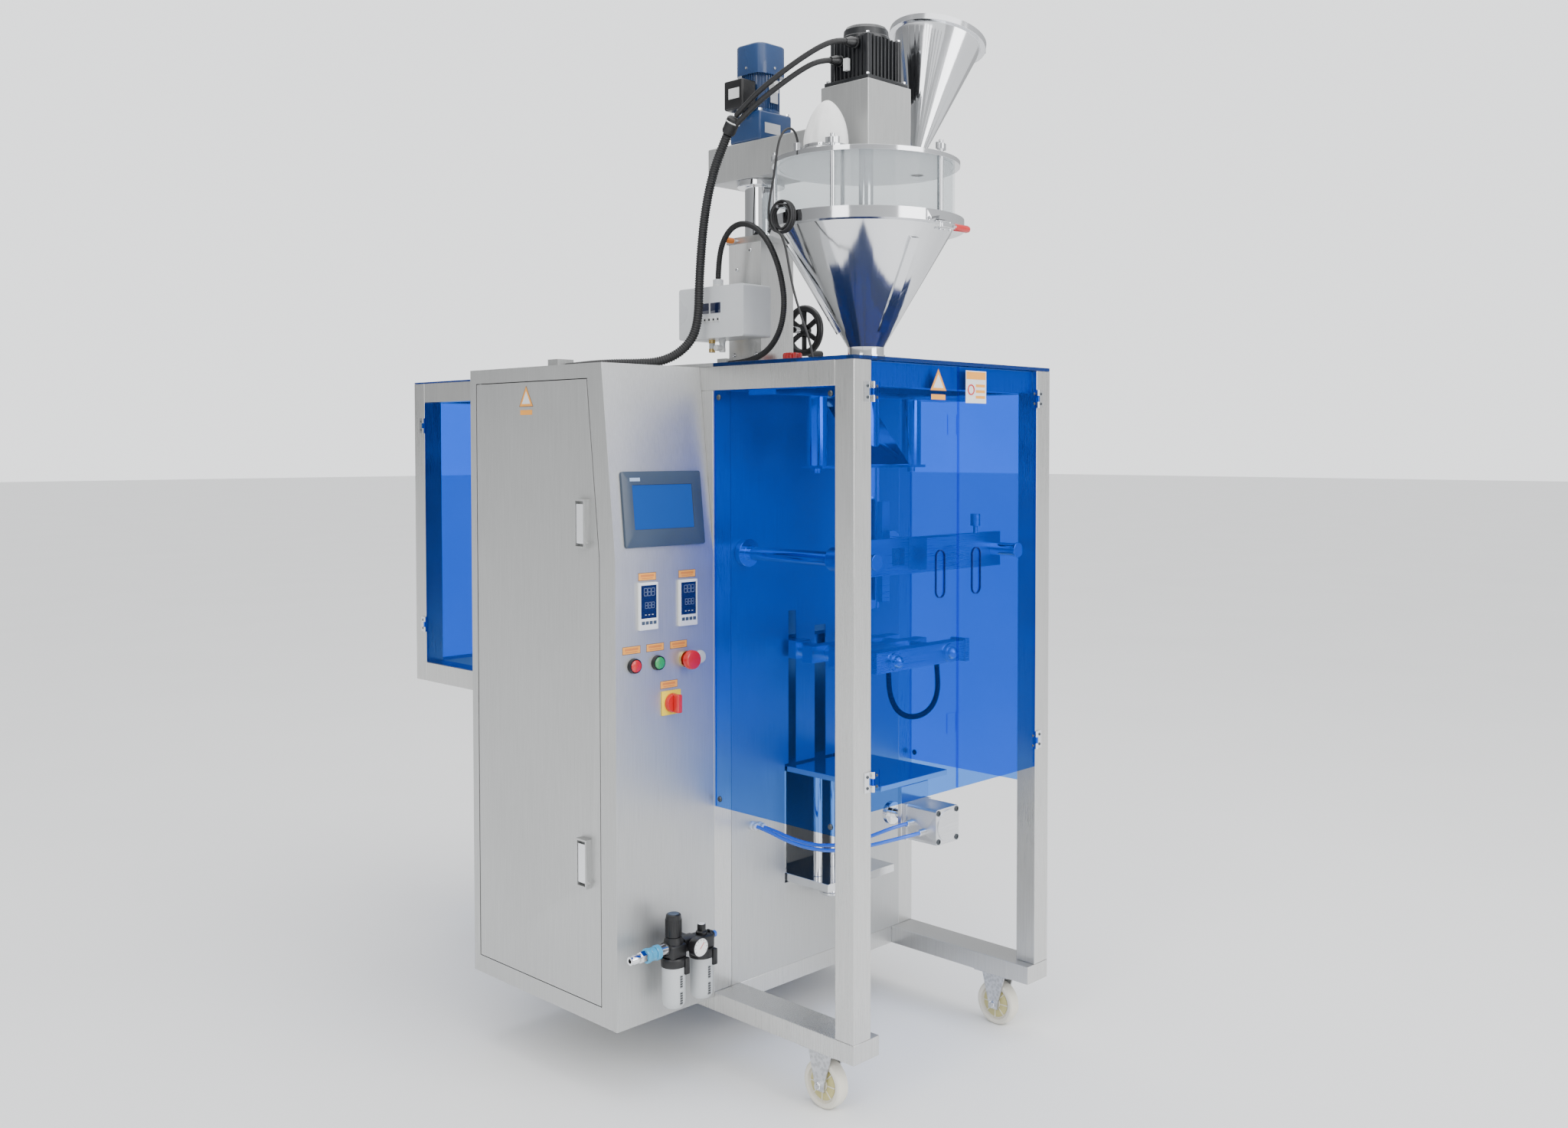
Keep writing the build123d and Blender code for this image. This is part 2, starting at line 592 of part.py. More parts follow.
with BuildPart() as slide_frame:
    block(span(axis_x, 2 * plate_half), (plate_low_front, plate_back), (plate_low, plate_low + plate_low_thick))
    block(span(axis_x, 2 * plate_half), (plate_high_front, plate_back), (plate_high, plate_high + plate_high_thick))
    block(span(axis_x, 90), (plate_high_front, plate_high_front + hanging_plate),
          (clamp_z - 40, plate_high - weld_gap))
    for z in (plate_low - 1, plate_high - 1):
        bar((axis_x, screw_y, z), (axis_x, screw_y, z + plate_low_thick + 2), screw_radius + running,
            mode=Mode.SUBTRACT)
    bar((axis_x, plate_high_front - 1, clamp_z), (axis_x, plate_high_front + hanging_plate + 1, clamp_z),
        guide_radius + running, mode=Mode.SUBTRACT)
    rods_from = plate_low + plate_low_thick + weld_gap
    for side in (-1, 1):
        x = axis_x + side * front_rod_x
        bar((x, front_rod_y, rods_from), (x, front_rod_y, plate_high - weld_gap), guide_radius)
        x = axis_x + side * slide_pitch / 2
        bar((x, guide_y, plate_high - 1), (x, guide_y, plate_high + plate_high_thick + 1), guide_radius + weld_gap,
            mode=Mode.SUBTRACT)
        bar((x, guide_y, rods_from), (x, guide_y, guide_top - weld_gap), guide_radius)
        x = axis_x + side * sealer_pitch / 2
        bar((x, sealer_bar_front, sealer_z), (x, y_wall - gap, sealer_z), sealer_bar)
        bar((x, y_wall - 16, sealer_z), (x, y_wall - gap, sealer_z), 2 * sealer_bar)
        bar((x, sealer_bar_front - 6, sealer_z), (x, sealer_bar_front, sealer_z), sealer_bar + 2)
    block(span(axis_x, slide_pitch + 60), (y_wall + sheet + gap, guide_y + 16), (guide_top, guide_top + 20))
slide_frame.part.label = "slide_frame"
export_step(slide_frame.part, "parts/slide_frame.step")

wheel_z = z_base + 192
with BuildPart() as stroke_handwheel:
    with Locations((axis_x, screw_y, wheel_z)):
        Torus(26, 4)
        Cylinder(9, 16)
        for angle in (0, 60, 120):
            Box(52, 5, 4, rotation=(0, 0, angle))
    bar((axis_x, screw_y, wheel_z), (axis_x, screw_y, plate_high + plate_high_thick), screw_radius)
stroke_handwheel.part.label = "stroke_handwheel"
export_step(stroke_handwheel.part, "parts/stroke_handwheel.step")

# ---------------------------------------------------------------- vertical sealer
plate_y = y_front + 90
plate_thick = 15
sealer_half = sealer_pitch / 2 + 27
sealer_height = 76
box_size = (105, 50, 67)
seal_bar = (24, 16, 220)
film_gap = 14                # from the seal bar to the forming tube at rest

with BuildPart() as vertical_sealer:
    block(span(axis_x, 2 * sealer_half), (plate_y, plate_y + plate_thick), span(sealer_z, sealer_height))
    for side in (-1, 1):
        x = axis_x + side * sealer_pitch / 2
        bar((x, plate_y, sealer_z), (x, plate_y + 50, sealer_z), 25)
    seal_back = axis_y - form_radius - film_gap
    block(span(axis_x, 36), (plate_y, seal_back - seal_bar[1] + 1), span(sealer_z, 50))
    block(span(axis_x, seal_bar[0]), (seal_back - seal_bar[1], seal_back), span(sealer_z, seal_bar[2]))
    for side in (-1, 1):
        x = axis_x + side * sealer_pitch / 2
        bar((x, plate_y - 1, sealer_z), (x, plate_y + 51, sealer_z), sealer_bar + running, mode=Mode.SUBTRACT)
    block((axis_x - 110, axis_x - 70), (plate_y - 1, plate_y + plate_thick + 1), span(sealer_z, 36), mode=Mode.SUBTRACT)
    block(span(axis_x - 5, box_size[0]), (plate_y - gap - box_size[1], plate_y - gap),
          span(sealer_z + 6, box_size[2]))
    bar((axis_x + 180, plate_y + plate_thick / 2, sealer_z + sealer_height / 2),
        (axis_x + 180, plate_y + plate_thick / 2, sealer_z + sealer_height / 2 + 18), 5)
    bar((axis_x + 180, plate_y + plate_thick / 2, sealer_z + sealer_height / 2 + 16),
        (axis_x + 180, plate_y + plate_thick / 2, sealer_z + sealer_height / 2 + 42), 11)
vertical_sealer.part.label = "vertical_sealer"
export_step(vertical_sealer.part, "parts/vertical_sealer.step")

# ---------------------------------------------------------------- jaw carriage and jaws
jaw_z = z_base + 756
jaw_shaft = 16
beam_y = y_front + 118
beam_size = (290, 34, 44)
slider = (44, 44, 40)        # bushing block behind the wall
neck_width = 18
jaw_size = (290, 30, 2 * jaw_shaft + 4)
jaw_travel = 25
jaw_face = (140, 4, 22)

with BuildPart() as jaw_carriage:
    block(span(axis_x, slide_pitch + slider[0]), (guide_y - slider[1] / 2 + 4, guide_y + slider[1] / 2),
          span(jaw_z, slider[2]))
    for side in (-1, 1):
        x = axis_x + side * slide_pitch / 2
        block(span(x, neck_width), (y_wall - 10, guide_y), span(jaw_z, slider[2]))
        block(span(x, slider[0]), (y_wall - 34, y_wall - 10), span(jaw_z, slider[2]))
        bar((x, beam_y - beam_size[1] / 2, jaw_z), (x, y_wall - 30, jaw_z), jaw_shaft)
        bar((x, beam_y - beam_size[1] / 2 - 8, jaw_z), (x, beam_y - beam_size[1] / 2, jaw_z), jaw_shaft + 4)
        with Locations((x, beam_y - beam_size[1] / 2 - 8, jaw_z)):
            Sphere(jaw_shaft - 2)
    block(span(axis_x, beam_size[0]), span(beam_y, beam_size[1]), span(jaw_z, beam_size[2]))
    block((axis_x + beam_size[0] / 2, axis_x + beam_size[0] / 2 + 12), span(beam_y, beam_size[1] + 10),
          span(jaw_z, beam_size[2] + 6))
    for side in (-1, 1):
        x = axis_x + side * slide_pitch / 2
        bar((x, guide_y, jaw_z - 30), (x, guide_y, jaw_z + 30), guide_radius + running, mode=Mode.SUBTRACT)
jaw_carriage.part.label = "jaw_carriage"
export_step(jaw_carriage.part, "parts/jaw_carriage.step")


def jaw(side):
    """Heated jaw: a block bored for the two shafts, with a sealing face towards the film."""
    near, far = axis_y + side * jaw_travel, axis_y + side * (jaw_travel + jaw_size[1])
    block(span(axis_x, jaw_size[0]), sorted((near, far)), span(jaw_z, jaw_size[2]))
    block(span(axis_x, jaw_face[0]), sorted((near - side * jaw_face[1], near)), span(jaw_z, jaw_face[2]))
    for end in (-1, 1):
        x = axis_x + end * slide_pitch / 2
        bar((x, min(near, far) - 1, jaw_z), (x, max(near, far) + 1, jaw_z), jaw_shaft + running, mode=Mode.SUBTRACT)


with BuildPart() as front_jaw:
    jaw(-1)
front_jaw.part.label = "front_jaw"
export_step(front_jaw.part, "parts/front_jaw.step")

with BuildPart() as rear_jaw:
    jaw(1)
rear_jaw.part.label = "rear_jaw"
export_step(rear_jaw.part, "parts/rear_jaw.step")

# ---------------------------------------------------------------- clamp cylinder under the doors
cylinder_side = 76
cylinder_back = plate_high_front - gap
cylinder_front = cylinder_back - 90
port_x = axis_x - cylinder_side / 2
ports = [(cylinder_front + 32, clamp_z - 12), (cylinder_front + 66, clamp_z + 2)]
port_length = 18
port_radius = 6

with BuildPart() as clamp_cylinder:
    block(span(axis_x, cylinder_side), (cylinder_front, cylinder_back - 10), span(clamp_z, cylinder_side))
    fillet(clamp_cylinder.edges().filter_by(Axis.Y), 6)
    block(span(axis_x, cylinder_side + 8), (cylinder_back - 10, cylinder_back), span(clamp_z, cylinder_side))
    bar((axis_x, cylinder_front - 2, clamp_z), (axis_x, cylinder_front, clamp_z), 33)
    for y, z in ports:
        bar((port_x - port_length, y, z), (port_x, y, z), port_radius)
    bar((axis_x, cylinder_front + 15, clamp_z), (axis_x, cylinder_back, clamp_z), guide_radius + running,
        mode=Mode.SUBTRACT)
clamp_cylinder.part.label = "clamp_cylinder"
export_step(clamp_cylinder.part, "parts/clamp_cylinder.step")

with BuildPart() as clamp_rod:
    bar((axis_x, cylinder_front + 20, clamp_z), (axis_x, cylinder_back + 60, clamp_z), guide_radius)
    bar((axis_x, cylinder_back + 60, clamp_z), (axis_x, cylinder_back + 72, clamp_z), 25)
clamp_rod.part.label = "clamp_rod"
export_step(clamp_rod.part, "parts/clamp_rod.step")

# ---------------------------------------------------------------- film reel shaft
with BuildPart() as reel_shaft:
    bar((left_tube[0] + 12, bearing_y, bearing_z), (right_tube[1] - 12, bearing_y, bearing_z), reel_radius)
    for side in (-1, 1):
        with Locations(Plane(origin=(axis_x + side * 150, bearing_y, bearing_z), z_dir=(-side, 0, 0))):
            Cone(45, 20, 40, align=(Align.CENTER, Align.CENTER, Align.MIN))
            Cylinder(55, 8, align=(Align.CENTER, Align.CENTER, Align.MAX))
reel_shaft.part.label = "reel_shaft"
export_step(reel_shaft.part, "parts/reel_shaft.step")

# ---------------------------------------------------------------- casters
caster_wheel = 50
wheel_width = 30
axle_z = caster_wheel
axle = 5
fork_gap = 1.5
fork_sheet = 4
caster_plate = (60, 95, 5)
caster_inset = rail_width / 2
caster_places = {
    "front_left_wheel": (left_rail[0] + caster_inset, y_front + 110),
    "front_right_wheel": (right_rail[1] - caster_inset, y_front + 110),
    "rear_left_wheel": (left_rail[0] + caster_inset, y_back - 110),
    "rear_right_wheel": (right_rail[1] - caster_inset, y_back - 110),
}
with BuildPart() as caster_forks:
    for x, y in caster_places.values():
        block(span(x, caster_plate[0]), span(y, caster_plate[1]), (z_base - caster_plate[2], z_base))
        for side in (-1, 1):
            with BuildSketch(Plane.YZ.offset(x + side * (wheel_width / 2 + fork_gap + fork_sheet / 2))):
                with BuildLine():
                    Polyline((y - 32, z_base - 4), (y + 32, z_base - 4), (y + 13, axle_z), (y + 13, axle_z - 12),
                             (y - 13, axle_z - 12), (y - 13, axle_z), close=True)
                make_face()
            extrude(amount=fork_sheet / 2, both=True)
        bar((x - wheel_width, y, axle_z), (x + wheel_width, y, axle_z), axle)
caster_forks.part.label = "caster_forks"
export_step(caster_forks.part, "parts/caster_forks.step")


def caster(x, y):
    """Nylon wheel with a dished hub, turned about its axle."""
    bar((x - wheel_width / 2, y, axle_z), (x + wheel_width / 2, y, axle_z), caster_wheel)
    for side in (-1, 1):
        bar((x + side * wheel_width / 2, y, axle_z), (x + side * (wheel_width / 2 - 5), y, axle_z),
            caster_wheel - 12, mode=Mode.SUBTRACT)
        bar((x + side * wheel_width / 2, y, axle_z), (x + side * (wheel_width / 2 - 6), y, axle_z), 13)
    bar((x - wheel_width, y, axle_z), (x + wheel_width, y, axle_z), axle + running, mode=Mode.SUBTRACT)


with BuildPart() as front_left_wheel:
    caster(*caster_places["front_left_wheel"])
front_left_wheel.part.label = "front_left_wheel"
export_step(front_left_wheel.part, "parts/front_left_wheel.step")

with BuildPart() as front_right_wheel:
    caster(*caster_places["front_right_wheel"])
front_right_wheel.part.label = "front_right_wheel"
export_step(front_right_wheel.part, "parts/front_right_wheel.step")

with BuildPart() as rear_left_wheel:
    caster(*caster_places["rear_left_wheel"])
rear_left_wheel.part.label = "rear_left_wheel"
export_step(rear_left_wheel.part, "parts/rear_left_wheel.step")

with BuildPart() as rear_right_wheel:
    caster(*caster_places["rear_right_wheel"])
rear_right_wheel.part.label = "rear_right_wheel"
export_step(rear_right_wheel.part, "parts/rear_right_wheel.step")

# ---------------------------------------------------------------- lifting column for the filler
column_wall = 5
column_top = z_base + 1682
cap = (113, 118, 15)
lift_radius = 38
arm_low = z_base + 1830
arm_height = 85
wheel_shaft = 8
lift_wheel_x = axis_x + 145
lift_wheel_z = z_base + 1490
lift_wheel_radius = 55
pin_stem, pin_grip = 4, 7
pin_y = column_y + 31
pin_z = column_top + cap[2] / 2

with BuildPart() as lift_column:
    block(span(axis_x, column_width), span(column_y, column_depth), (z_cover + gap, column_top))
    block(span(axis_x, column_width - 2 * column_wall), span(column_y, column_depth - 2 * column_wall),
          (z_cover + column_wall, column_top), mode=Mode.SUBTRACT)
    block(span(axis_x, cap[0]), span(column_y, cap[1]), (column_top, column_top + cap[2]))
    bar((axis_x, column_y, column_top - 1), (axis_x, column_y, column_top + cap[2] + 1), lift_radius + running,
        mode=Mode.SUBTRACT)
    bar((axis_x - cap[0] / 2, pin_y, pin_z), (axis_x - lift_radius, pin_y, pin_z), pin_stem + running,
        mode=Mode.SUBTRACT)
    bar((axis_x + column_width / 2, column_y, lift_wheel_z), (axis_x + column_width / 2 + 25, column_y, lift_wheel_z),
        2 * wheel_shaft)
    bar((axis_x, column_y, lift_wheel_z), (axis_x + column_width, column_y, lift_wheel_z), wheel_shaft + running,
        mode=Mode.SUBTRACT)
lift_column.part.label = "lift_column"
export_step(lift_column.part, "parts/lift_column.step")

with BuildPart() as lock_pin:
    bar((axis_x - cap[0] / 2 - gap, pin_y, pin_z), (axis_x - lift_radius - 2, pin_y, pin_z), pin_stem)
    bar((axis_x - cap[0] / 2 - 32, pin_y, pin_z), (axis_x - cap[0] / 2 - gap, pin_y, pin_z), pin_grip)
lock_pin.part.label = "lock_pin"
export_step(lock_pin.part, "parts/lock_pin.step")

with BuildPart() as clamp_knob:
    bar((axis_x + 6, knob_y, z_cover + 27), (axis_x + 6, knob_y, z_cover + 42), 17)
    with Locations((axis_x + 6, knob_y, z_cover + 34.5)):
        with PolarLocations(17, 6):
            Cylinder(6, 15)
    bar((axis_x + 6, knob_y, z_cover + gap), (axis_x + 6, knob_y, z_cover + 27), 10)
    bar((axis_x + 6, knob_y, z_cover), (axis_x + 6, knob_y, z_cover + stud_length + 1), column_stud + running,
        mode=Mode.SUBTRACT)
clamp_knob.part.label = "clamp_knob"
export_step(clamp_knob.part, "parts/clamp_knob.step")

with BuildPart() as lift_handwheel:
    with Locations(Plane(origin=(lift_wheel_x, column_y, lift_wheel_z), z_dir=(1, 0, 0))):
        Torus(lift_wheel_radius, 8)
        Cylinder(16, 24)
        for angle in (0, 60, 120):
            Box(2 * lift_wheel_radius, 12, 8, rotation=(0, 0, angle))
    bar((axis_x + column_width / 2 - 20, column_y, lift_wheel_z), (lift_wheel_x, column_y, lift_wheel_z), wheel_shaft)
    bar((lift_wheel_x, column_y, lift_wheel_z - lift_wheel_radius),
        (lift_wheel_x + 62, column_y, lift_wheel_z - lift_wheel_radius), 9)
lift_handwheel.part.label = "lift_handwheel"
export_step(lift_handwheel.part, "parts/lift_handwheel.step")

box_x = (axis_x - 138, axis_x - column_width / 2 - gap)
box_y = (y_front + 512, y_front + 735)
box_z = (z_base + 1457, z_base + 1576)
gland_x, gland_y = axis_x - 100, y_front + 639
with BuildPart() as control_box:
    block(box_x, box_y, box_z)
    fillet(control_box.edges().filter_by(Axis.X), 6)
    bar((gland_x, gland_y, box_z[1]), (gland_x, gland_y, box_z[1] + 20), 12)
    for y in (gland_y - 14, gland_y + 22):
        bar((gland_x, y, box_z[0] - 30), (gland_x, y, box_z[0]), 7)
control_box.part.label = "control_box"
export_step(control_box.part, "parts/control_box.step")

with BuildPart() as lift_tube:
    bar((axis_x, column_y, z_base + 1560), (axis_x, column_y, arm_low - gap), lift_radius)
    bar((axis_x, column_y, z_base + 1559), (axis_x, column_y, arm_low - 20), lift_radius - 5, mode=Mode.SUBTRACT)
    bar((axis_x, column_y, arm_low - 14), (axis_x, column_y, arm_low - gap), 56)
lift_tube.part.label = "lift_tube"
export_step(lift_tube.part, "parts/lift_tube.step")

# ---------------------------------------------------------------- filler head: arm, motors and auger housing
arm_y = (axis_y + 70 + gap, y_front + 718)
arm_high = arm_low + arm_height
housing = 140
housing_z = (z_base + 1828 + gap, z_base + 1992)
shaft_radius = 10
sleeve_radius = 16
servo_flange, servo_body, servo_cap = 130, 112, 52
servo_high = z_base + 2094
servo_cap_high = z_base + 2122
gear_low, gear_high = arm_high + gap, z_base + 1985
fin_high, motor_high = z_base + 2075, z_base + 2145
connector_z = z_base + 2058
connectors = [(axis_y - 22, connector_z + 18), (axis_y + 22, connector_z - 14)]
connector_length = 14

with BuildPart() as feeder_arm:
    block(span(axis_x, 120), arm_y, (arm_low, arm_high))
    fillet(feeder_arm.edges().filter_by(Axis.Y).group_by(Axis.Z)[-1], 5)
feeder_arm.part.label = "feeder_arm"
export_step(feeder_arm.part, "parts/feeder_arm.step")

with BuildPart() as gear_motor:
    block(span(axis_x, 104), span(column_y, 104), (gear_low, gear_high))
    fillet(gear_motor.edges().filter_by(Axis.Z), 8)
    bar((axis_x, column_y, gear_high), (axis_x, column_y, fin_high), 43)
    block(span(axis_x, 92), span(column_y, 92), (fin_high, motor_high))
    chamfer(gear_motor.edges().filter_by(Axis.Z).group_by(Axis.Z)[-1], 16)
    block((axis_x - 88, axis_x - 38), span(column_y, 62), (gear_high, fin_high - 20))
gear_motor.part.label = "gear_motor"
export_step(gear_motor.part, "parts/gear_motor.step")

with BuildPart() as auger_housing:
    block(span(axis_x, housing), span(axis_y, housing), housing_z)
    bar((axis_x, axis_y, housing_z[0]), (axis_x, axis_y, housing_z[0] + 16), sleeve_radius + running,
        mode=Mode.SUBTRACT)
    bar((axis_x, axis_y, housing_z[0]), (axis_x, axis_y, housing_z[0] + 60), shaft_radius + running,
        mode=Mode.SUBTRACT)
auger_housing.part.label = "auger_housing"
export_step(auger_housing.part, "parts/auger_housing.step")

with BuildPart() as servo_motor:
    block(span(axis_x, servo_flange), span(axis_y, servo_flange), (housing_z[1] + gap, housing_z[1] + 10))
    block(span(axis_x, servo_body), span(axis_y, servo_body), (housing_z[1] + 10, servo_high))
    bar((axis_x, axis_y, servo_high), (axis_x, axis_y, servo_cap_high), servo_cap)
    for y, z in connectors:
        bar((axis_x - servo_body / 2 - connector_length, y, z), (axis_x - servo_body / 2, y, z), 10)
servo_motor.part.label = "servo_motor"
export_step(servo_motor.part, "parts/servo_motor.step")

# ---------------------------------------------------------------- hopper
lid_radius = 207
lid_z = (z_base + 1818, z_base + 1828)
glass_radius = 195
glass_wall = 5
ring_radius = 216
ring_z = (z_base + 1678, z_base + 1702)
cone_top = 190
cone_wall = 2
neck_z = z_base + 1425
neck_low = z_base + 1400
sock_place = (axis_x - 146, axis_y - 19)
sock_radius = 50
feed_place = (axis_x + 138, axis_y - 30)
feed_pipe = 16
sensor_place = (axis_x - 178, axis_y + 34)
tie_radius = 5
tie_circle = glass_radius + tie_radius + 1
hook_y = axis_y + 32
hook_z = z_base + 1709

with BuildPart() as hopper_lid:
    bar((axis_x, axis_y, lid_z[0]), (axis_x, axis_y, lid_z[1]), lid_radius)
    bar((axis_x, axis_y, lid_z[0] - 1), (axis_x, axis_y, lid_z[1] + 1), sleeve_radius + gap, mode=Mode.SUBTRACT)
    bar((*feed_place, lid_z[0] - 1), (*feed_place, lid_z[1] + 1), feed_pipe + gap, mode=Mode.SUBTRACT)
    bar((*sensor_place, lid_z[1]), (*sensor_place, lid_z[1] + 22), 9)
    with Locations((axis_x, axis_y, (ring_z[1] + gap + lid_z[1] + 26) / 2)):
        with PolarLocations(tie_circle, 5, 202):
            Cylinder(tie_radius, lid_z[1] + 26 - ring_z[1] - gap)
    with Locations((axis_x, axis_y, lid_z[1] + 12)):
        with PolarLocations(tie_circle, 5, 202):
            Cylinder(9, 12)
            Box(6, 30, 14)
hopper_lid.part.label = "hopper_lid"
export_step(hopper_lid.part, "parts/hopper_lid.step")

with BuildPart() as hopper_cylinder:
    bar((axis_x, axis_y, ring_z[1] + gap), (axis_x, axis_y, lid_z[0] - gap), glass_radius)
    bar((axis_x, axis_y, ring_z[1]), (axis_x, axis_y, lid_z[0]), glass_radius - glass_wall, mode=Mode.SUBTRACT)
hopper_cylinder.part.label = "hopper_cylinder"
export_step(hopper_cylinder.part, "parts/hopper_cylinder.step")

cone_lean = atan((cone_top - neck_radius) / (ring_z[0] - neck_z))
filler_low = z_base + 1010
neck_flange = neck_low + 8
seam_bar = (8, 22, 0.88 * (ring_z[0] - neck_z))
lug_y = axis_y - ring_radius - 10
with BuildPart() as hopper_cone:
    with BuildSketch(Plane(origin=(axis_x, axis_y, 0), x_dir=(1, 0, 0), z_dir=(0, -1, 0))):
        with BuildLine():
            Polyline((filler_tube - form_wall, filler_low), (filler_tube, filler_low), (filler_tube, neck_low),
                     (neck_radius + 3, neck_low), (neck_radius + 3, neck_flange), (filler_tube - form_wall, neck_flange),
                     close=True)
        make_face()
        with BuildLine():
            Polyline((filler_tube - form_wall, neck_flange + weld_gap), (neck_radius, neck_flange + weld_gap),
                     (neck_radius, neck_z), (cone_top, ring_z[0]), (ring_radius, ring_z[0]),
                     (ring_radius, ring_z[1]), (cone_top - cone_wall, ring_z[1]), (cone_top - cone_wall, ring_z[0]),
                     (neck_radius - cone_wall, neck_z), (filler_tube - form_wall, neck_z), close=True)
        make_face()
    revolve(axis=Axis((axis_x, axis_y, 0), (0, 0, 1)))
    bar((axis_x - ring_radius - 26, hook_y, hook_z), (axis_x - ring_radius + 10, hook_y, hook_z), 3)
    block((axis_x - ring_radius + 4, axis_x - ring_radius + 12), span(hook_y, 12), (ring_z[1] - 5, hook_z + 5))
    block((axis_x - 32, axis_x - 6), (lug_y - 10, lug_y + 18), (ring_z[0], ring_z[0] + 8))
    bar((axis_x - 20, lug_y, ring_z[0] - 20), (axis_x - 20, lug_y, ring_z[0] + 4), 3)
    for angle in (18, 138, 258):           # seam bars down the cone
        with Locations(Plane(origin=(axis_x, axis_y, (neck_z + ring_z[0]) / 2)).rotated((0, 0, angle))):
            with Locations(((neck_radius + cone_top) / 2 + (seam_bar[0] / 2 - cone_wall) / cos(cone_lean), 0, 0)):
                Box(*seam_bar, rotation=(0, cone_lean * 180 / pi, 0))
hopper_cone.part.label = "hopper_cone"
export_step(hopper_cone.part, "parts/hopper_cone.step")

with BuildPart() as toggle_clamp:
    block((axis_x - 32, axis_x + 30), span(lug_y, 16), (ring_z[0] - 18, ring_z[0] - gap))
    bar((axis_x + 30, lug_y, ring_z[0] - 9), (axis_x + 78, lug_y, ring_z[0] - 9), 8)
    bar((axis_x - 20, lug_y, ring_z[0] - 22), (axis_x - 20, lug_y, ring_z[0]), 3 + running, mode=Mode.SUBTRACT)
toggle_clamp.part.label = "toggle_clamp"
export_step(toggle_clamp.part, "parts/toggle_clamp.step")

with BuildPart() as filter_sock:
    bar((*sock_place, lid_z[1] + gap), (*sock_place, lid_z[1] + 112), sock_radius)
    fillet(filter_sock.edges().filter_by(GeomType.CIRCLE).sort_by(Axis.Z)[-1], 14)
filter_sock.part.label = "filter_sock"
export_step(filter_sock.part, "parts/filter_sock.step")

feed_slant = 15
feed_low = z_base + 1866
feed_rim = 105
feed_length = 284
feed_wall = 1.5
feed_plane = Plane(origin=(*feed_place, feed_low), z_dir=(sin(feed_slant * pi / 180), 0, cos(feed_slant * pi / 180)))
with BuildPart() as feed_funnel:
    with Locations(feed_plane):
        Cone(feed_pipe, feed_rim, feed_length, align=(Align.CENTER, Align.CENTER, Align.MIN))
    with Locations(feed_plane.offset(feed_length)):
        Cylinder(feed_rim + 7, 14, align=(Align.CENTER, Align.CENTER, Align.MAX))
    with Locations((*feed_place, feed_low)):
        Sphere(feed_pipe)
    bar((*feed_place, lid_z[0]), (*feed_place, feed_low), feed_pipe)
    bar((*feed_place, lid_z[1] + gap), (*feed_place, lid_z[1] + 4), feed_pipe + 12)
    with Locations(feed_plane):
        Cone(feed_pipe - feed_wall, feed_rim - feed_wall, feed_length + 0.1,
             align=(Align.CENTER, Align.CENTER, Align.MIN), mode=Mode.SUBTRACT)
    bar((*feed_place, lid_z[0] - 1), (*feed_place, feed_low), feed_pipe - feed_wall, mode=Mode.SUBTRACT)
feed_funnel.part.label = "feed_funnel"
export_step(feed_funnel.part, "parts/feed_funnel.step")

# ---------------------------------------------------------------- auger and agitator inside the hopper
flight_pitch = 44
flight_radius = filler_tube - form_wall - 1.5
flight_low = z_base + 1022
with BuildPart() as auger:
    bar((axis_x, axis_y, filler_low), (axis_x, axis_y, housing_z[0] + 58), shaft_radius)
    with Locations(*[(axis_x, axis_y, flight_low + k * flight_pitch) for k in range(9)]):
        Cylinder(flight_radius, sheet, rotation=(18, 0, 0))
auger.part.label = "auger"
export_step(auger.part, "parts/auger.step")

scraper_gap = 14
with BuildPart() as agitator:
    bar((axis_x, axis_y, neck_z + 60), (axis_x, axis_y, housing_z[0] + 14), sleeve_radius)
    for side in (-1, 1):
        low, high = neck_radius + 40 - scraper_gap, cone_top - scraper_gap
        slope = (ring_z[0] - neck_z) / (cone_top - neck_radius)
        foot = neck_z + 40 * slope
        bar((axis_x + side * low, axis_y, foot), (axis_x + side * (high - 10), axis_y, ring_z[0] - 10 * slope), 5)
        bar((axis_x, axis_y, foot), (axis_x + side * low, axis_y, foot), 5)
        bar((axis_x, axis_y, ring_z[0] - 10 * slope), (axis_x + side * (high - 10), axis_y, ring_z[0] - 10 * slope), 5)
    bar((axis_x, axis_y, neck_z), (axis_x, axis_y, housing_z[1]), shaft_radius + running, mode=Mode.SUBTRACT)
agitator.part.label = "agitator"
export_step(agitator.part, "parts/agitator.step")


# ---------------------------------------------------------------- cords, hoses and cables
def cord(points, radius):
    """A round cord along straight runs, with each corner as large an arc as its runs allow."""
    points = [Vector(p) for p in points]
    runs = [b - a for a, b in zip(points, points[1:])]
    arcs = [0.45 * min(a.length, b.length) / tan(a.get_angle(b) * pi / 360) for a, b in zip(runs, runs[1:])]
    with BuildLine():
        path = FilletPolyline(*points, radius=arcs)
    with BuildSketch(Plane(origin=path @ 0, z_dir=path % 0)) as section:
        Circle(radius)
    sweep(section.sketch, path=path)
    print("arcs from", round(min(arcs)), "on a cord of", 2 * radius, "length", round(path.length))
    return pi * radius ** 2 * path.length


conduit_radius = 11
conduit_route = [(-31, -266, 2032), (-32, -235, 1985), (-34, -210, 1925), (-37, -194, 1855), (-38, -184, 1780),
                 (-40, -179, 1700), (-40, -176, 1625), (-52, -169, 1578), (-80, -151, 1544), (-118, -128, 1525),
                 (-156, -97, 1522), (-190, -54, 1522), (-218, -4, 1519), (-232, 66, 1515)]
with BuildPart() as conduit:
    wanted = cord(conduit_route, conduit_radius)
print("conduit volume over section times length", round(conduit.part.volume / wanted, 4))
conduit.part.label = "conduit"
export_step(conduit.part, "parts/conduit.step")

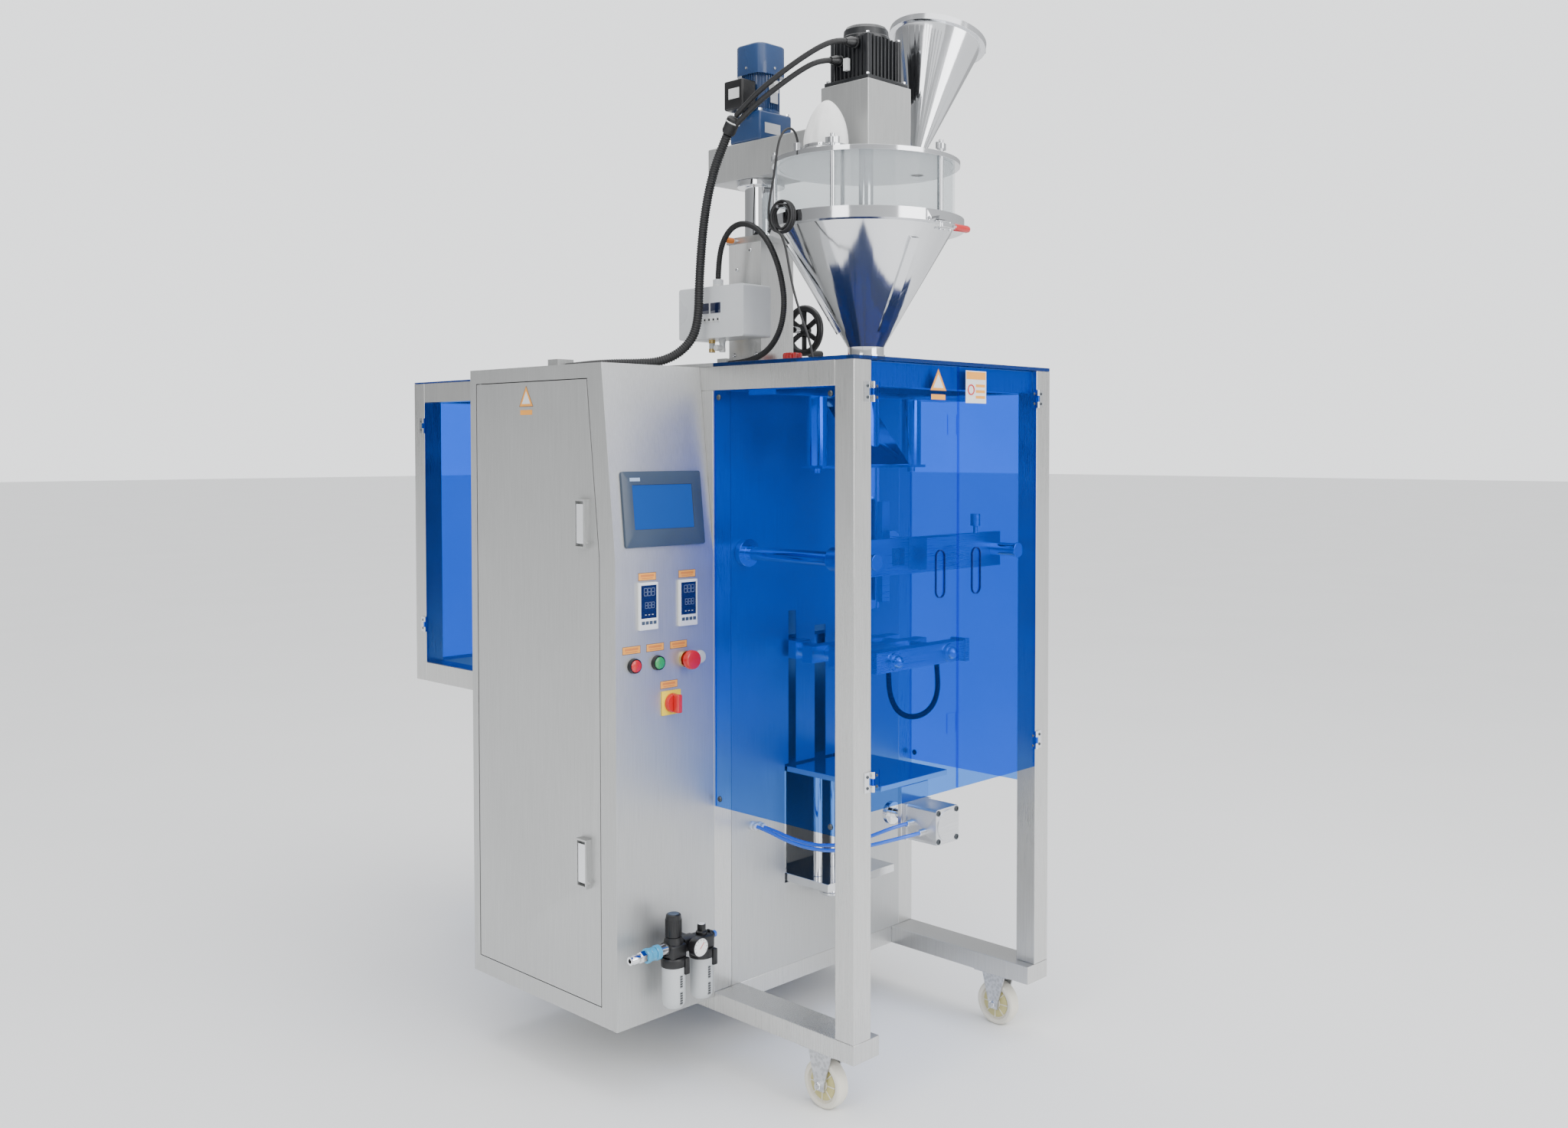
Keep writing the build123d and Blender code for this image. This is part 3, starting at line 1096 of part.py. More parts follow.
motor_cable_radius = 6
motor_routes = [
    [(59, -563, 2202), (28, -560, 2200), (2, -540, 2190), (-16, -500, 2170), (-26, -452, 2148), (-30, -400, 2126),
     (-31, -346, 2102), (-30, -294, 2071)],
    [(58.6, -519, 2170), (30, -514, 2166), (4, -498, 2156), (-12, -466, 2138), (-21, -425, 2118), (-26, -380, 2098),
     (-28, -335, 2076), (-30, -289, 2049)],
]
with BuildPart() as motor_cables:
    for route_points in motor_routes:
        cord(route_points, motor_cable_radius)
    bar((-30, -291, 2070), (-31, -266.6, 2032.8), conduit_radius + 5)      # sleeve where they enter the conduit
motor_cables.part.label = "motor_cables"
export_step(motor_cables.part, "parts/motor_cables.step")

box_hose_radius = 7
box_hose_route = [(30, -166, 1722.6), (30, -168, 1766), (29, -184, 1812), (27, -222, 1842), (24, -274, 1842),
                  (22, -322, 1816), (20, -360, 1772), (20, -386, 1715), (21, -397, 1652), (23, -383, 1594),
                  (26, -344, 1552), (28, -292, 1532), (30, -245, 1526), (30, -205.7, 1525)]
with BuildPart() as box_hose:
    cord(box_hose_route, box_hose_radius)
box_hose.part.label = "box_hose"
export_step(box_hose.part, "parts/box_hose.step")

sensor_radius = 2.5
sensor_routes = [
    [(-48, -507, 1976.5), (-52, -507, 1994), (-66, -508, 2005), (-84, -509, 2001), (-98, -509, 1985),
     (-105, -510, 1958), (-106, -510, 1922), (-103, -510, 1890), (-97, -510, 1858)],
    [(-97, -511, 1777), (-98, -519, 1744), (-106, -538, 1700), (-120, -566, 1655), (-137, -600, 1610),
     (-152, -634, 1568), (-160, -656, 1533), (-162, -663, 1510)],
]
with BuildPart() as sensor_cable:
    for route_points in sensor_routes:
        cord(route_points, sensor_radius)
sensor_cable.part.label = "sensor_cable"
export_step(sensor_cable.part, "parts/sensor_cable.step")

coil_x = axis_x - ring_radius - 10
coil_outer, coil_inner, coil_depth = 38, 20, 15
with BuildPart() as sensor_coil:
    with Locations(Plane(origin=(coil_x, hook_y, hook_z + 3 + gap - coil_inner), z_dir=(1, 0, 0))):
        Cylinder(coil_outer, coil_depth)
        Cylinder(coil_inner, coil_depth, mode=Mode.SUBTRACT)
sensor_coil.part.label = "sensor_coil"
export_step(sensor_coil.part, "parts/sensor_coil.step")

hose_radius = 4
hose_routes = [
    [(-83, -414.7, 503), (-82, -446, 500), (-78, -498, 488), (-70, -556, 481), (-58, -612, 483), (-38, -662, 493),
     (-8, -702, 506), (24, -729, 515), (51, -742, 519), (73.4, -743.3, 519)],
    [(-61, -414.7, 498), (-60, -446, 496), (-56, -496, 486), (-48, -548, 482), (-36, -598, 487), (-16, -643, 500),
     (12, -678, 517), (40, -703, 531), (73.2, -709.3, 533)],
]
with BuildPart() as air_hoses:
    for route_points in hose_routes:
        cord(route_points, hose_radius)
air_hoses.part.label = "air_hoses"
export_step(air_hoses.part, "parts/air_hoses.step")

jaw_cable_radius = 6
jaw_cable_route = [(200, -687, 859), (202, -688, 832), (200, -691, 802), (184, -694, 774), (156, -696, 758),
                   (122, -697, 753), (88, -696, 758), (60, -694, 774), (44, -691, 802), (40, -688, 832),
                   (41, -687, 859)]
with BuildPart() as jaw_cables:
    cord(jaw_cable_route, jaw_cable_radius)
jaw_cables.part.label = "jaw_cables"
export_step(jaw_cables.part, "parts/jaw_cables.step")
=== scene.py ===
# %% [markdown]
# # A vertical form fill sealer
#
# This machine turns a flat roll of film into filled bags. Film comes off a reel behind the body, is
# folded round a forming tube in the glazed cage, is welded down its back by an upright heated bar, and is
# closed and cut by a pair of jaws. Powder comes from a hopper above, pushed down the tube by an auger.
#
# The machine's exact solids are already made, so this lesson is about the finish: what each surface is,
# how it catches light, and the small parts that make it read as a real machine. Everything is in metres.

# %% Load the machine
import json
import math
from math import cos, pi, radians, sin

import bmesh
import bpy
from mathutils import Matrix, Vector


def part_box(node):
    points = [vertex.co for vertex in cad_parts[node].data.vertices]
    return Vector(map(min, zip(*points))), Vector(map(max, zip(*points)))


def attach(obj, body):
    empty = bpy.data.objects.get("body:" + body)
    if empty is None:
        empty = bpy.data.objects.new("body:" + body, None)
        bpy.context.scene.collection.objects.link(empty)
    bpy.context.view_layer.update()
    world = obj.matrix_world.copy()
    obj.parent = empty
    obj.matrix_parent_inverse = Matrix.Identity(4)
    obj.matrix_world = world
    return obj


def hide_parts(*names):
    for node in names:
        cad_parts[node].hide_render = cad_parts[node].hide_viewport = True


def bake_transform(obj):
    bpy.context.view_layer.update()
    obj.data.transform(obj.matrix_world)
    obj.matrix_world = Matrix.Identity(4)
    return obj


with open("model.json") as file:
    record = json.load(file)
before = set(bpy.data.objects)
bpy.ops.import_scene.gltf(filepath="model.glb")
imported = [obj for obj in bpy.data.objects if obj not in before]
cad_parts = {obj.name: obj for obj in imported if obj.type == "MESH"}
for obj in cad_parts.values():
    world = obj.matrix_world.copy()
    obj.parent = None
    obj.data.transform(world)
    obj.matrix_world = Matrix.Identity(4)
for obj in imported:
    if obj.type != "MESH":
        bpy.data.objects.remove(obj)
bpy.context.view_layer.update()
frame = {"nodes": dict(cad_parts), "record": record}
bodies = frame["record"]["behaviour"]["bodies"]
body_of = {node: body for body, nodes in bodies.items() for node in nodes}

# %% [markdown]
# ## Places on the machine
#
# Every fitting sits on something that is already there, so its place is read from the solids and not
# guessed. The places are kept in millimetres, to a tenth, as on a drawing.


# %% Read the main places
def lowest(node):
    return [round(value * 1000, 1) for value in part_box(node)[0]]


def middle(node):
    low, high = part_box(node)
    return [round((a + b) * 500, 1) for a, b in zip(low, high)]


panel_y = lowest("cabinet_shell")[1]
shell_x = lowest("cabinet_shell")[0]
front_y = lowest("main_frame")[1]
filling_x, filling_y = middle("auger")[:2]
column_x, column_y = middle("lift_tube")[:2]
print("filling axis", filling_x, filling_y, "control panel at", panel_y)

# %% [markdown]
# ## Camera
#
# A camera standing well back with a slightly long lens keeps the uprights parallel, as a catalogue
# picture does. The lens is shifted a little instead of tilting the camera, so tall parts don't lean.

# %% Set the camera
ahead = Vector((0.7301, 0.6826, -0.0314)).normalized()
right = Vector((0.68296, -0.73046, 0.0002)).normalized()
up = right.cross(ahead).normalized()
right = ahead.cross(up)
camera = bpy.data.objects.new("camera", bpy.data.cameras.new("camera"))
bpy.context.scene.collection.objects.link(camera)
facing_ahead = Matrix((right, up, -ahead)).transposed().to_4x4()
camera.matrix_world = Matrix.Translation((-2.19405, -2.65127, 1.32803)) @ facing_ahead
camera.data.lens = 32.538
camera.data.sensor_width = 36
camera.data.shift_x = -0.0390
camera.data.shift_y = -0.0451
bpy.context.scene.camera = camera
print("camera at", tuple(camera.location))

# %% [markdown]
# ## Floor and light
#
# Stainless steel shows its surroundings, so the light matters more than on a painted thing. One large
# soft panel from the camera's side, one from the left and a pale sky give long smooth gradients.


# %% Light the studio
def soft_panel(name, place, target, size, power):
    lamp = bpy.data.lights.new(name, "AREA")
    lamp.shape = "RECTANGLE"
    lamp.size, lamp.size_y = size
    lamp.energy = power
    stand = bpy.data.objects.new(name, lamp)
    bpy.context.scene.collection.objects.link(stand)
    stand.location = place
    stand.rotation_euler = (Vector(target) - Vector(place)).to_track_quat("-Z", "Y").to_euler()


soft_panel("front_panel", (0.6, -4.8, 2.6), (0.1, 0, 1.2), (2.6, 2.6), 95)
soft_panel("left_panel", (-4.4, -1.6, 2.9), (0, 0, 1.1), (1.6, 2.4), 45)
soft_panel("top_panel", (0.4, 0.2, 4.4), (0, 0, 1.0), (3.4, 3.4), 60)
print("three soft panels")

# %% [markdown]
# The sky of an overcast day is a sun as wide as the sky. It fills the shadows evenly and keeps the floor
# pale all the way to the horizon.

# %% Add an overcast sky
overcast = bpy.data.lights.new("overcast", "SUN")
overcast.energy, overcast.angle = 2.6, radians(80)
overcast_stand = bpy.data.objects.new("overcast", overcast)
bpy.context.scene.collection.objects.link(overcast_stand)
overcast_stand.rotation_euler = (radians(28), radians(-14), 0)
print("overcast sky, strength", round(overcast.energy, 2))


# %% [markdown]
# ## Shader maths
#
# A node tree is easier to read as a sum. `Value` wraps one socket and turns + - * / into Math nodes. The
# reflected forms are there so that a plain number may come first, as in 1 - mask.


# %% Wrap a socket
class Value:
    def __init__(self, finish, socket):
        self.finish, self.socket = finish, socket

    def maths(self, operation, first, second):
        return self.finish.add("Math", {"operation": operation}, {0: first, 1: second})

    def __add__(self, other): return self.maths("ADD", self, other)
    def __radd__(self, other): return self.maths("ADD", other, self)
    def __sub__(self, other): return self.maths("SUBTRACT", self, other)
    def __rsub__(self, other): return self.maths("SUBTRACT", other, self)
    def __mul__(self, other): return self.maths("MULTIPLY", self, other)
    def __rmul__(self, other): return self.maths("MULTIPLY", other, self)


print("sums of sockets:", [name for name in vars(Value) if name.startswith("__r")])

# %% [markdown]
# `Finish` holds a material. `add` makes any node from its settings and inputs, `set` feeds the shader, and
# the rest are the few patterns that every finish here is mixed from.


# %% Wrap a material
class Finish:
    def __init__(self, name, holder=None):
        self.material = holder or bpy.data.materials.new(name)
        self.material.use_nodes = True
        self.tree = self.material.node_tree
        self.shader = self.tree.nodes["Background" if holder else "Principled BSDF"]

    def feed(self, socket, value):
        if isinstance(value, Value):
            self.tree.links.new(value.socket, socket)
        else:
            socket.default_value = value

    def add(self, kind, settings=None, inputs=None, output=0):
        node = self.tree.nodes.new("ShaderNode" + kind)
        for key, value in (settings or {}).items():
            if key == "stops":
                ends = node.color_ramp.elements
                ends[0].position, ends[0].color = value[0]
                ends[1].position, ends[1].color = value[-1]
                for place, colour in value[1:-1]:
                    ends.new(place).color = colour
            else:
                setattr(node, key, value)
        for key, value in (inputs or {}).items():
            self.feed(node.inputs[key], value)
        return Value(self, node.outputs[output])

    def set(self, **sockets):
        for key, value in sockets.items():
            self.feed(self.shader.inputs[key.replace("_", " ")], value)
        return self

    def place(self, scale=(1, 1, 1), turn=(0, 0, 0)):
        there = self.add("TexCoord", output="Object")
        return self.add("Mapping", inputs={"Vector": there, "Scale": scale, "Rotation": turn})

    def noise(self, scale, detail=3.0, stretch=(1, 1, 1), roughness=0.5):
        return self.add("TexNoise", inputs={"Vector": self.place(stretch), "Scale": scale, "Detail": detail,
                                            "Roughness": roughness})

    def ramp(self, value, low, high):
        return self.add("MapRange", inputs={"Value": value, "From Min": 0.3, "From Max": 0.7, "To Min": low,
                                            "To Max": high})

    def blend(self, share, first, second):
        return self.add("Mix", {"data_type": "RGBA"}, {0: share, 6: first, 7: second}, output=2)

    def bump(self, height, strength, distance):
        return self.add("Bump", inputs={"Height": height, "Strength": strength, "Distance": distance})


def shade(colour, factor):
    return tuple(min(1, c * factor) for c in colour[:3]) + (1,)


print("a mid grey, a tenth darker", shade((0.5, 0.5, 0.5), 0.9))

# %% [markdown]
# ## The room
#
# The room is one soft gradient: bright in front and overhead, dimmer behind and to the left. The bright
# side shows in the front faces of the frame and the dim side in the cabinet, so the two read as separate
# planes. The wall that the camera itself sees stays pale.

# %% Paint the room
room = bpy.data.worlds.new("studio")
bpy.context.scene.world = room
paint = Finish("studio", room)
outward = paint.add("TexCoord", output="Generated")
facing = paint.add("VectorMath", {"operation": "DOT_PRODUCT"}, {0: outward, 1: (0.25, -0.72, 0.65)},
                   output="Value")
glow = paint.add("MapRange", inputs={"Value": facing, "From Min": -0.7, "From Max": 0.9, "To Min": 0.34,
                                     "To Max": 0.95})
seen = paint.add("LightPath", output="Is Camera Ray")
paint.set(Color=(0.97, 0.985, 1.0, 1), Strength=glow + seen * (1.9 - glow))
print("room painted with", len(room.node_tree.nodes), "nodes")

# %% [markdown]
# ## Metals
#
# Rolled stainless sheet is brushed in one direction, so its noise is stretched: dense across the grain
# and long along it. Fingerprints and wiping add broad soft patches to the roughness. A polished cone or a
# chromed rod has almost no grain, only haze, and cast zinc has a dull mottled skin.


# %% Name the kinds of metal
def brushed(name, colour, grain, roughness=0.3, depth=0.25, metallic=1.0):
    """Stainless or aluminium, brushed along the axis where grain is small."""
    f = Finish(name)
    lines = f.noise(9, 4, grain, 0.7)
    haze = f.noise(2.6, 3)
    f.set(Base_Color=f.blend(f.ramp(lines, 0, 1), shade(colour, 0.9), shade(colour, 1.06)), Metallic=metallic,
          Roughness=f.ramp(haze, roughness - 0.05, roughness + 0.07) + f.ramp(lines, -0.04, 0.05),
          Normal=f.bump(lines, depth, 0.0004))
    return f.material


def polished(name, colour, roughness=0.08):
    f = Finish(name)
    haze = f.noise(5, 4)
    f.set(Base_Color=f.blend(f.ramp(haze, 0, 1), shade(colour, 0.94), shade(colour, 1.04)), Metallic=1.0,
          Roughness=f.ramp(haze, roughness * 0.6, roughness * 1.6),
          Normal=f.bump(f.noise(60, 2), 0.03, 0.001))
    return f.material


def mottled(name, colour, roughness=0.38):
    f = Finish(name)
    cells = f.add("TexVoronoi", inputs={"Vector": f.place(), "Scale": 140.0}, output="Distance")
    f.set(Base_Color=f.blend(f.ramp(cells, 0, 1), shade(colour, 0.82), shade(colour, 1.1)), Metallic=0.9,
          Roughness=f.ramp(f.noise(30, 3), roughness - 0.08, roughness + 0.1),
          Normal=f.bump(cells, 0.12, 0.0006))
    return f.material


print("metal, kinds:", [kind.__name__ for kind in (brushed, polished, mottled)])

# %% [markdown]
# The frame and the panels are the same steel, but the welded tubes are ground brighter than the rolled
# sheet. The grain runs up the posts and along the bars. Bright steel, chrome, brass and cast zinc follow.

# %% Make the metals
upright_grain, level_grain = (60, 60, 1.2), (1.2, 60, 60)
metals = {
    "frame_steel": brushed("frame_steel", (0.60, 0.60, 0.59), upright_grain, 0.30, 0.25, 0.9),
    "sheet_steel": brushed("sheet_steel", (0.52, 0.525, 0.52), upright_grain, 0.42, 0.25, 0.8),
    "bright_steel": polished("bright_steel", (0.72, 0.73, 0.75), 0.09),
    "chrome": polished("chrome", (0.80, 0.81, 0.83), 0.045),
    "aluminium": brushed("aluminium", (0.70, 0.71, 0.73), level_grain, 0.30, 0.15),
    "zinc": mottled("zinc", (0.55, 0.56, 0.58)),
    "brass": polished("brass", (0.72, 0.52, 0.22), 0.22),
    "dark_steel": brushed("dark_steel", (0.09, 0.10, 0.11), level_grain, 0.40, 0.15),
}
print("metals", len(metals))

# %% [markdown]
# ## Plastics, paint, rubber and cloth
#
# Moulded plastic has a fine spark-eroded texture that breaks up its highlight. Sprayed paint has orange
# peel, much broader and softer. Each colour is varied slightly, because nothing real is one flat colour.


# %% Name the kinds of plastic and paint
def moulded(name, colour, roughness=0.42, grain=0.12, coat=0.0):
    f = Finish(name)
    wear = f.noise(7, 3)
    fine = f.noise(900, 2)
    f.set(Base_Color=f.blend(f.ramp(wear, 0, 1), shade(colour, 0.88), shade(colour, 1.08)),
          Roughness=f.ramp(wear, roughness - 0.05, roughness + 0.07), Normal=f.bump(fine, grain, 0.0003),
          Coat_Weight=coat)
    return f.material


def painted(name, colour, roughness=0.3):
    f = Finish(name)
    peel = f.noise(160, 2)
    wear = f.noise(4, 4)
    f.set(Base_Color=f.blend(f.ramp(wear, 0, 1), shade(colour, 0.9), shade(colour, 1.07)),
          Roughness=f.ramp(wear, roughness - 0.06, roughness + 0.06), Normal=f.bump(peel, 0.10, 0.0008),
          Coat_Weight=0.25)
    return f.material


def glowing(name, colour, strength):
    f = Finish(name)
    drift = f.noise(3, 2)
    f.set(Base_Color=shade(colour, 0.4), Roughness=0.12, Coat_Weight=0.6,
          Emission_Color=f.blend(f.ramp(drift, 0, 1), shade(colour, 0.85), shade(colour, 1.1)),
          Emission_Strength=strength)
    return f.material


print("plastic and paint, kinds:", [kind.__name__ for kind in (moulded, painted, glowing)])

# %% [markdown]
# Each colour on the machine says what a thing is: red and green for the controls, yellow under the main
# switch, blue for air, black for castings. The screen glows a little, and the lamp is nearly out.

# %% Make the plastics and paints
plastics = {
    "slate": moulded("slate", (0.045, 0.068, 0.105), 0.38),
    "black": moulded("black", (0.006, 0.006, 0.007), 0.34),
    "soft_black": moulded("soft_black", (0.008, 0.008, 0.009), 0.5, 0.2),
    "white": moulded("white", (0.74, 0.75, 0.75), 0.32),
    "light_grey": moulded("light_grey", (0.48, 0.50, 0.51), 0.36),
    "ivory": moulded("ivory", (0.72, 0.69, 0.60), 0.4),
    "hub_yellow": moulded("hub_yellow", (0.52, 0.47, 0.20), 0.45),
    "red": moulded("red", (0.55, 0.012, 0.014), 0.24, 0.04, 0.4),
    "green": moulded("green", (0.02, 0.30, 0.08), 0.24, 0.04, 0.4),
    "orange": moulded("orange", (0.82, 0.22, 0.02), 0.3, 0.06, 0.3),
    "yellow": moulded("yellow", (0.85, 0.60, 0.02), 0.34),
    "hose_blue": moulded("hose_blue", (0.02, 0.13, 0.62), 0.22, 0.03, 0.4),
    "motor_blue": painted("motor_blue", (0.012, 0.045, 0.14), 0.30),
    "motor_black": painted("motor_black", (0.008, 0.009, 0.011), 0.34),
    "box_grey": painted("box_grey", (0.66, 0.68, 0.70), 0.30),
    "display_navy": moulded("display_navy", (0.008, 0.014, 0.05), 0.10, 0.01, 0.8),
    "label_orange": moulded("label_orange", (0.86, 0.36, 0.05), 0.45, 0.05),
    "label_dull": moulded("label_dull", (0.62, 0.20, 0.04), 0.5, 0.05),
    "label_edge": moulded("label_edge", (0.10, 0.07, 0.05), 0.5, 0.05),
    "unlit": moulded("unlit", (0.12, 0.15, 0.21), 0.2, 0.01, 0.5),
    "slot_grey": moulded("slot_grey", (0.20, 0.21, 0.22), 0.3, 0.05),
    "coupling_blue": moulded("coupling_blue", (0.04, 0.30, 0.52), 0.26, 0.05, 0.3),
    "screen_blue": glowing("screen_blue", (0.02, 0.10, 0.40, 1), 0.55),
    "screen_pale": glowing("screen_pale", (0.50, 0.66, 0.92, 1), 0.6),
    "lamp_white": glowing("lamp_white", (0.85, 0.88, 0.85, 1), 0.25),
}
print("plastics", len(plastics))

# %% [markdown]
# ## Tinted acrylic
#
# A tinted sheet filters what is behind it, and its surface also mirrors a little of the room. A
# Transparent shader with the tint as its colour does the filtering, and lets coloured light through to
# the inside as well, which a refracting glass shader would leave in shadow. Each sheet has two surfaces,
# so the tint is applied twice.


# %% Make the clear sheets
def clear_sheet(name, tint, body, share):
    """Acrylic of a tint, with a share of its surface that shows its own body colour."""
    f = Finish(name)
    f.set(Base_Color=body, Roughness=0.06, Coat_Weight=0.3)
    film = f.add("BsdfTransparent", inputs={"Color": tint})
    haze = f.ramp(f.noise(3, 3), share - 0.03, share + 0.03)
    mixed = f.add("MixShader", inputs={0: haze, 1: film, 2: Value(f, f.shader.outputs["BSDF"])})
    f.feed(f.tree.nodes["Material Output"].inputs["Surface"], mixed)
    return f.material


sheets = {
    "blue_acrylic": clear_sheet("blue_acrylic", (0.33, 0.57, 0.955, 1), (0.01, 0.10, 0.50, 1), 0.05),
    "navy_acrylic": clear_sheet("navy_acrylic", (0.05, 0.18, 0.50, 1), (0.003, 0.03, 0.13, 1), 0.45),
    "clear_acrylic": clear_sheet("clear_acrylic", (0.92, 0.935, 0.94, 1), (0.60, 0.62, 0.63, 1), 0.12),
}
print("clear sheets", len(sheets))

# %% [markdown]
# ## Rubber and cloth
#
# Rubber hose is nearly black, and dust makes it greyer and duller in patches. Cloth is matt, with fine
# threads and broad soft folds, and a little sheen from loose fibres. The hollows of the folds are painted
# darker, as painted shade.


# %% Make the rubber and the cloth
def rubbery(name, colour):
    f = Finish(name)
    dust = f.noise(18, 4)
    f.set(Base_Color=f.blend(f.ramp(dust, 0, 1), shade(colour, 0.8), shade(colour, 1.5)),
          Roughness=f.ramp(dust, 0.5, 0.68), Normal=f.bump(f.noise(700, 2), 0.15, 0.0004))
    return f.material


def woven(name, colour):
    f = Finish(name)
    threads = f.add("TexWave", {"bands_direction": "Z"}, {"Vector": f.place(), "Scale": 260.0, "Distortion": 0.6})
    folds = f.noise(26, 3, (1, 1, 0.35))
    # The colour follows the fold height, so the hollows of the folds are painted darker: painted shade.
    f.set(Base_Color=f.blend(f.ramp(folds, 0, 1), shade(colour, 0.86), shade(colour, 1.05)),
          Roughness=f.ramp(folds, 0.82, 0.95), Sheen_Weight=0.3,
          Normal=f.bump(folds + 0.12 * threads, 0.35, 0.003))
    return f.material


rubber, cloth = rubbery("rubber", (0.014, 0.014, 0.015)), woven("cloth", (0.88, 0.88, 0.87))
finishes = {**metals, **plastics, **sheets, "rubber": rubber, "cloth": cloth}
print("finishes", len(finishes))

# %% [markdown]
# ## Floor
#
# The floor is one pale matt sheet, wide enough to reach the horizon. Its colour drifts very slightly, so
# that it doesn't look like an empty page. It isn't part of the machine.

# %% Lay the floor
ground = bmesh.new()
bmesh.ops.create_grid(ground, x_segments=1, y_segments=1, size=60)
floor_mesh = bpy.data.meshes.new("floor")
ground.to_mesh(floor_mesh)
floor = bpy.data.objects.new("floor", floor_mesh)
bpy.context.scene.collection.objects.link(floor)
floor_finish = Finish("floor")
floor_finish.set(Base_Color=floor_finish.blend(floor_finish.ramp(floor_finish.noise(1.2, 3), 0, 1),
                                               (0.88, 0.885, 0.89, 1), (0.90, 0.905, 0.91, 1)), Roughness=0.6)
floor_mesh.materials.append(floor_finish.material)
print("floor", round(floor.dimensions.x), "m wide")

# %% [markdown]
# ## Cables and hoses
#
# A cable is one smooth line with a round section. Its line is a NURBS curve of order three along a
# short list of control points, in millimetres.


# %% Turn a route into a line
def link(piece):
    bpy.context.scene.collection.objects.link(piece)
    return piece


def route_line(name, points):
    curve = bpy.data.curves.new(name, "CURVE")
    curve.dimensions = "3D"
    spline = curve.splines.new("NURBS")
    spline.points.add(len(points) - 1)
    for point, place in zip(spline.points, points):
        point.co = (*[value / 1000 for value in place], 1)
    spline.order_u = 3
    spline.use_endpoint_u = True
    spline.resolution_u = 16
    line = link(bpy.data.objects.new(name, curve))
    return line


def read_line(line):
    bpy.context.view_layer.update()
    mesh = bpy.data.meshes.new_from_object(line)
    places = [v.co.copy() for v in mesh.vertices]
    bpy.data.meshes.remove(mesh)
    return places


print("a route is a NURBS line of order 3")

# %% [markdown]
# The line is walked in small even steps and swept with a circle at each. On a corrugated conduit the
# radius goes up and down from step to step. A poly curve with a round bevel does the sweeping.


# %% Sweep a section along a line
def even_steps(places, step):
    out, left = [places[0]], step
    for a, b in zip(places, places[1:]):
        run = (b - a).length
        travelled = 0
        while run - travelled >= left:
            travelled += left
            out.append(a.lerp(b, travelled / run))
            left = step
        left -= run - travelled
    return out + [places[-1]]


def swept(name, places, radii):
    curve = bpy.data.curves.new(name, "CURVE")
    curve.dimensions = "3D"
    spline = curve.splines.new("POLY")
    spline.points.add(len(places) - 1)
    for point, place, radius in zip(spline.points, places, radii):
        point.co, point.radius = (*place, 1), radius
    curve.bevel_depth = 1
    curve.bevel_resolution = 3
    curve.use_fill_caps = True
    line = link(bpy.data.objects.new(name, curve))
    bpy.context.view_layer.update()
    mesh = bpy.data.meshes.new_from_object(line)
    bpy.data.objects.remove(line)
    for face in mesh.polygons:
        face.use_smooth = True
    return link(bpy.data.objects.new(name, mesh))


print("steps of 3 on a line of 10:", len(even_steps([Vector((0, 0, 0)), Vector((10, 0, 0))], 3)), "places")

# %% [markdown]
# A cable's length is measured on its line and printed. A cable between the body and the filler bends across
# the lift, so it is attached to neither and stays where it is drawn.


# %% Make a cable
def cable(name, node, points, diameter, finish, pitch=0.0, ride="machine_base", blend=None):
    ridge = (1, 1, 0.86, 0.86)
    line = route_line(name + "_line", points)
    places = read_line(line)
    bpy.data.objects.remove(line)
    if pitch:
        steps = even_steps(places, pitch / len(ridge))
        radii = [diameter / 2 * ridge[k % len(ridge)] for k in range(len(steps))]
    else:
        steps = even_steps(places, max(diameter * 0.8, 0.004))
        radii = [diameter / 2] * len(steps)
    piece = swept(name, steps, radii)
    piece.data.materials.append(finishes[finish])
    if blend:
        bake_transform(piece)
    else:
        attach(piece, ride)
    length = sum((b - a).length for a, b in zip(places, places[1:]))
    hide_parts(*([node] if isinstance(node, str) else node))
    tuple(places[0])
    [tuple(p) for p in places]
    print(name, "length", round(length, 3))


print("cables are ready to run")

# %% [markdown]
# The conduit carries the filler's wires down to the body. It drops from a sleeve under the motors, and turns
# along the top plate in one wide sweep.

# %% Run the conduit
conduit_route = [(-31, -266, 2032), (-32, -235, 1985), (-34, -210, 1925), (-37, -194, 1855), (-38, -184, 1780),
                 (-40, -179, 1700), (-40, -176, 1625), (-52, -169, 1578), (-80, -151, 1544), (-118, -128, 1525),
                 (-156, -97, 1522), (-190, -54, 1522), (-218, -4, 1519), (-232, 66, 1515)]
cable("conduit_hose", "conduit", conduit_route, 0.022, "soft_black", pitch=0.0056,
      blend=("filler", "machine_base", (-0.04, -0.18, 1.93), (-0.04, -0.18, 1.60)))

# %% [markdown]
# Two cables leave the servo motor's plugs and come together at the conduit's sleeve.

# %% Run the motor cables
motor_routes = [
    [(59, -563, 2202), (28, -560, 2200), (2, -540, 2190), (-16, -500, 2170), (-26, -452, 2148), (-30, -400, 2126),
     (-31, -346, 2102), (-30, -294, 2071)],
    [(58.6, -519, 2170), (30, -514, 2166), (4, -498, 2156), (-12, -466, 2138), (-21, -425, 2118), (-26, -380, 2098),
     (-28, -335, 2076), (-30, -289, 2049)],
]
for number, route in enumerate(motor_routes):
    cable(f"motor_cable_{number}", "motor_cables", route, 0.012, "rubber", ride="filler")

# %% [markdown]
# A thin conduit rises from the control box, loops forward over the column and goes down into the top plate.

# %% Run the box cable
box_route = [(30, -166, 1722.6), (30, -168, 1766), (29, -184, 1812), (27, -222, 1842), (24, -274, 1842),
             (22, -322, 1816), (20, -360, 1772), (20, -386, 1715), (21, -397, 1652), (23, -383, 1594),
             (26, -344, 1552), (28, -292, 1532), (30, -245, 1526), (30, -205.7, 1525)]
cable("box_cable", "box_hose", box_route, 0.014, "soft_black", pitch=0.0048)

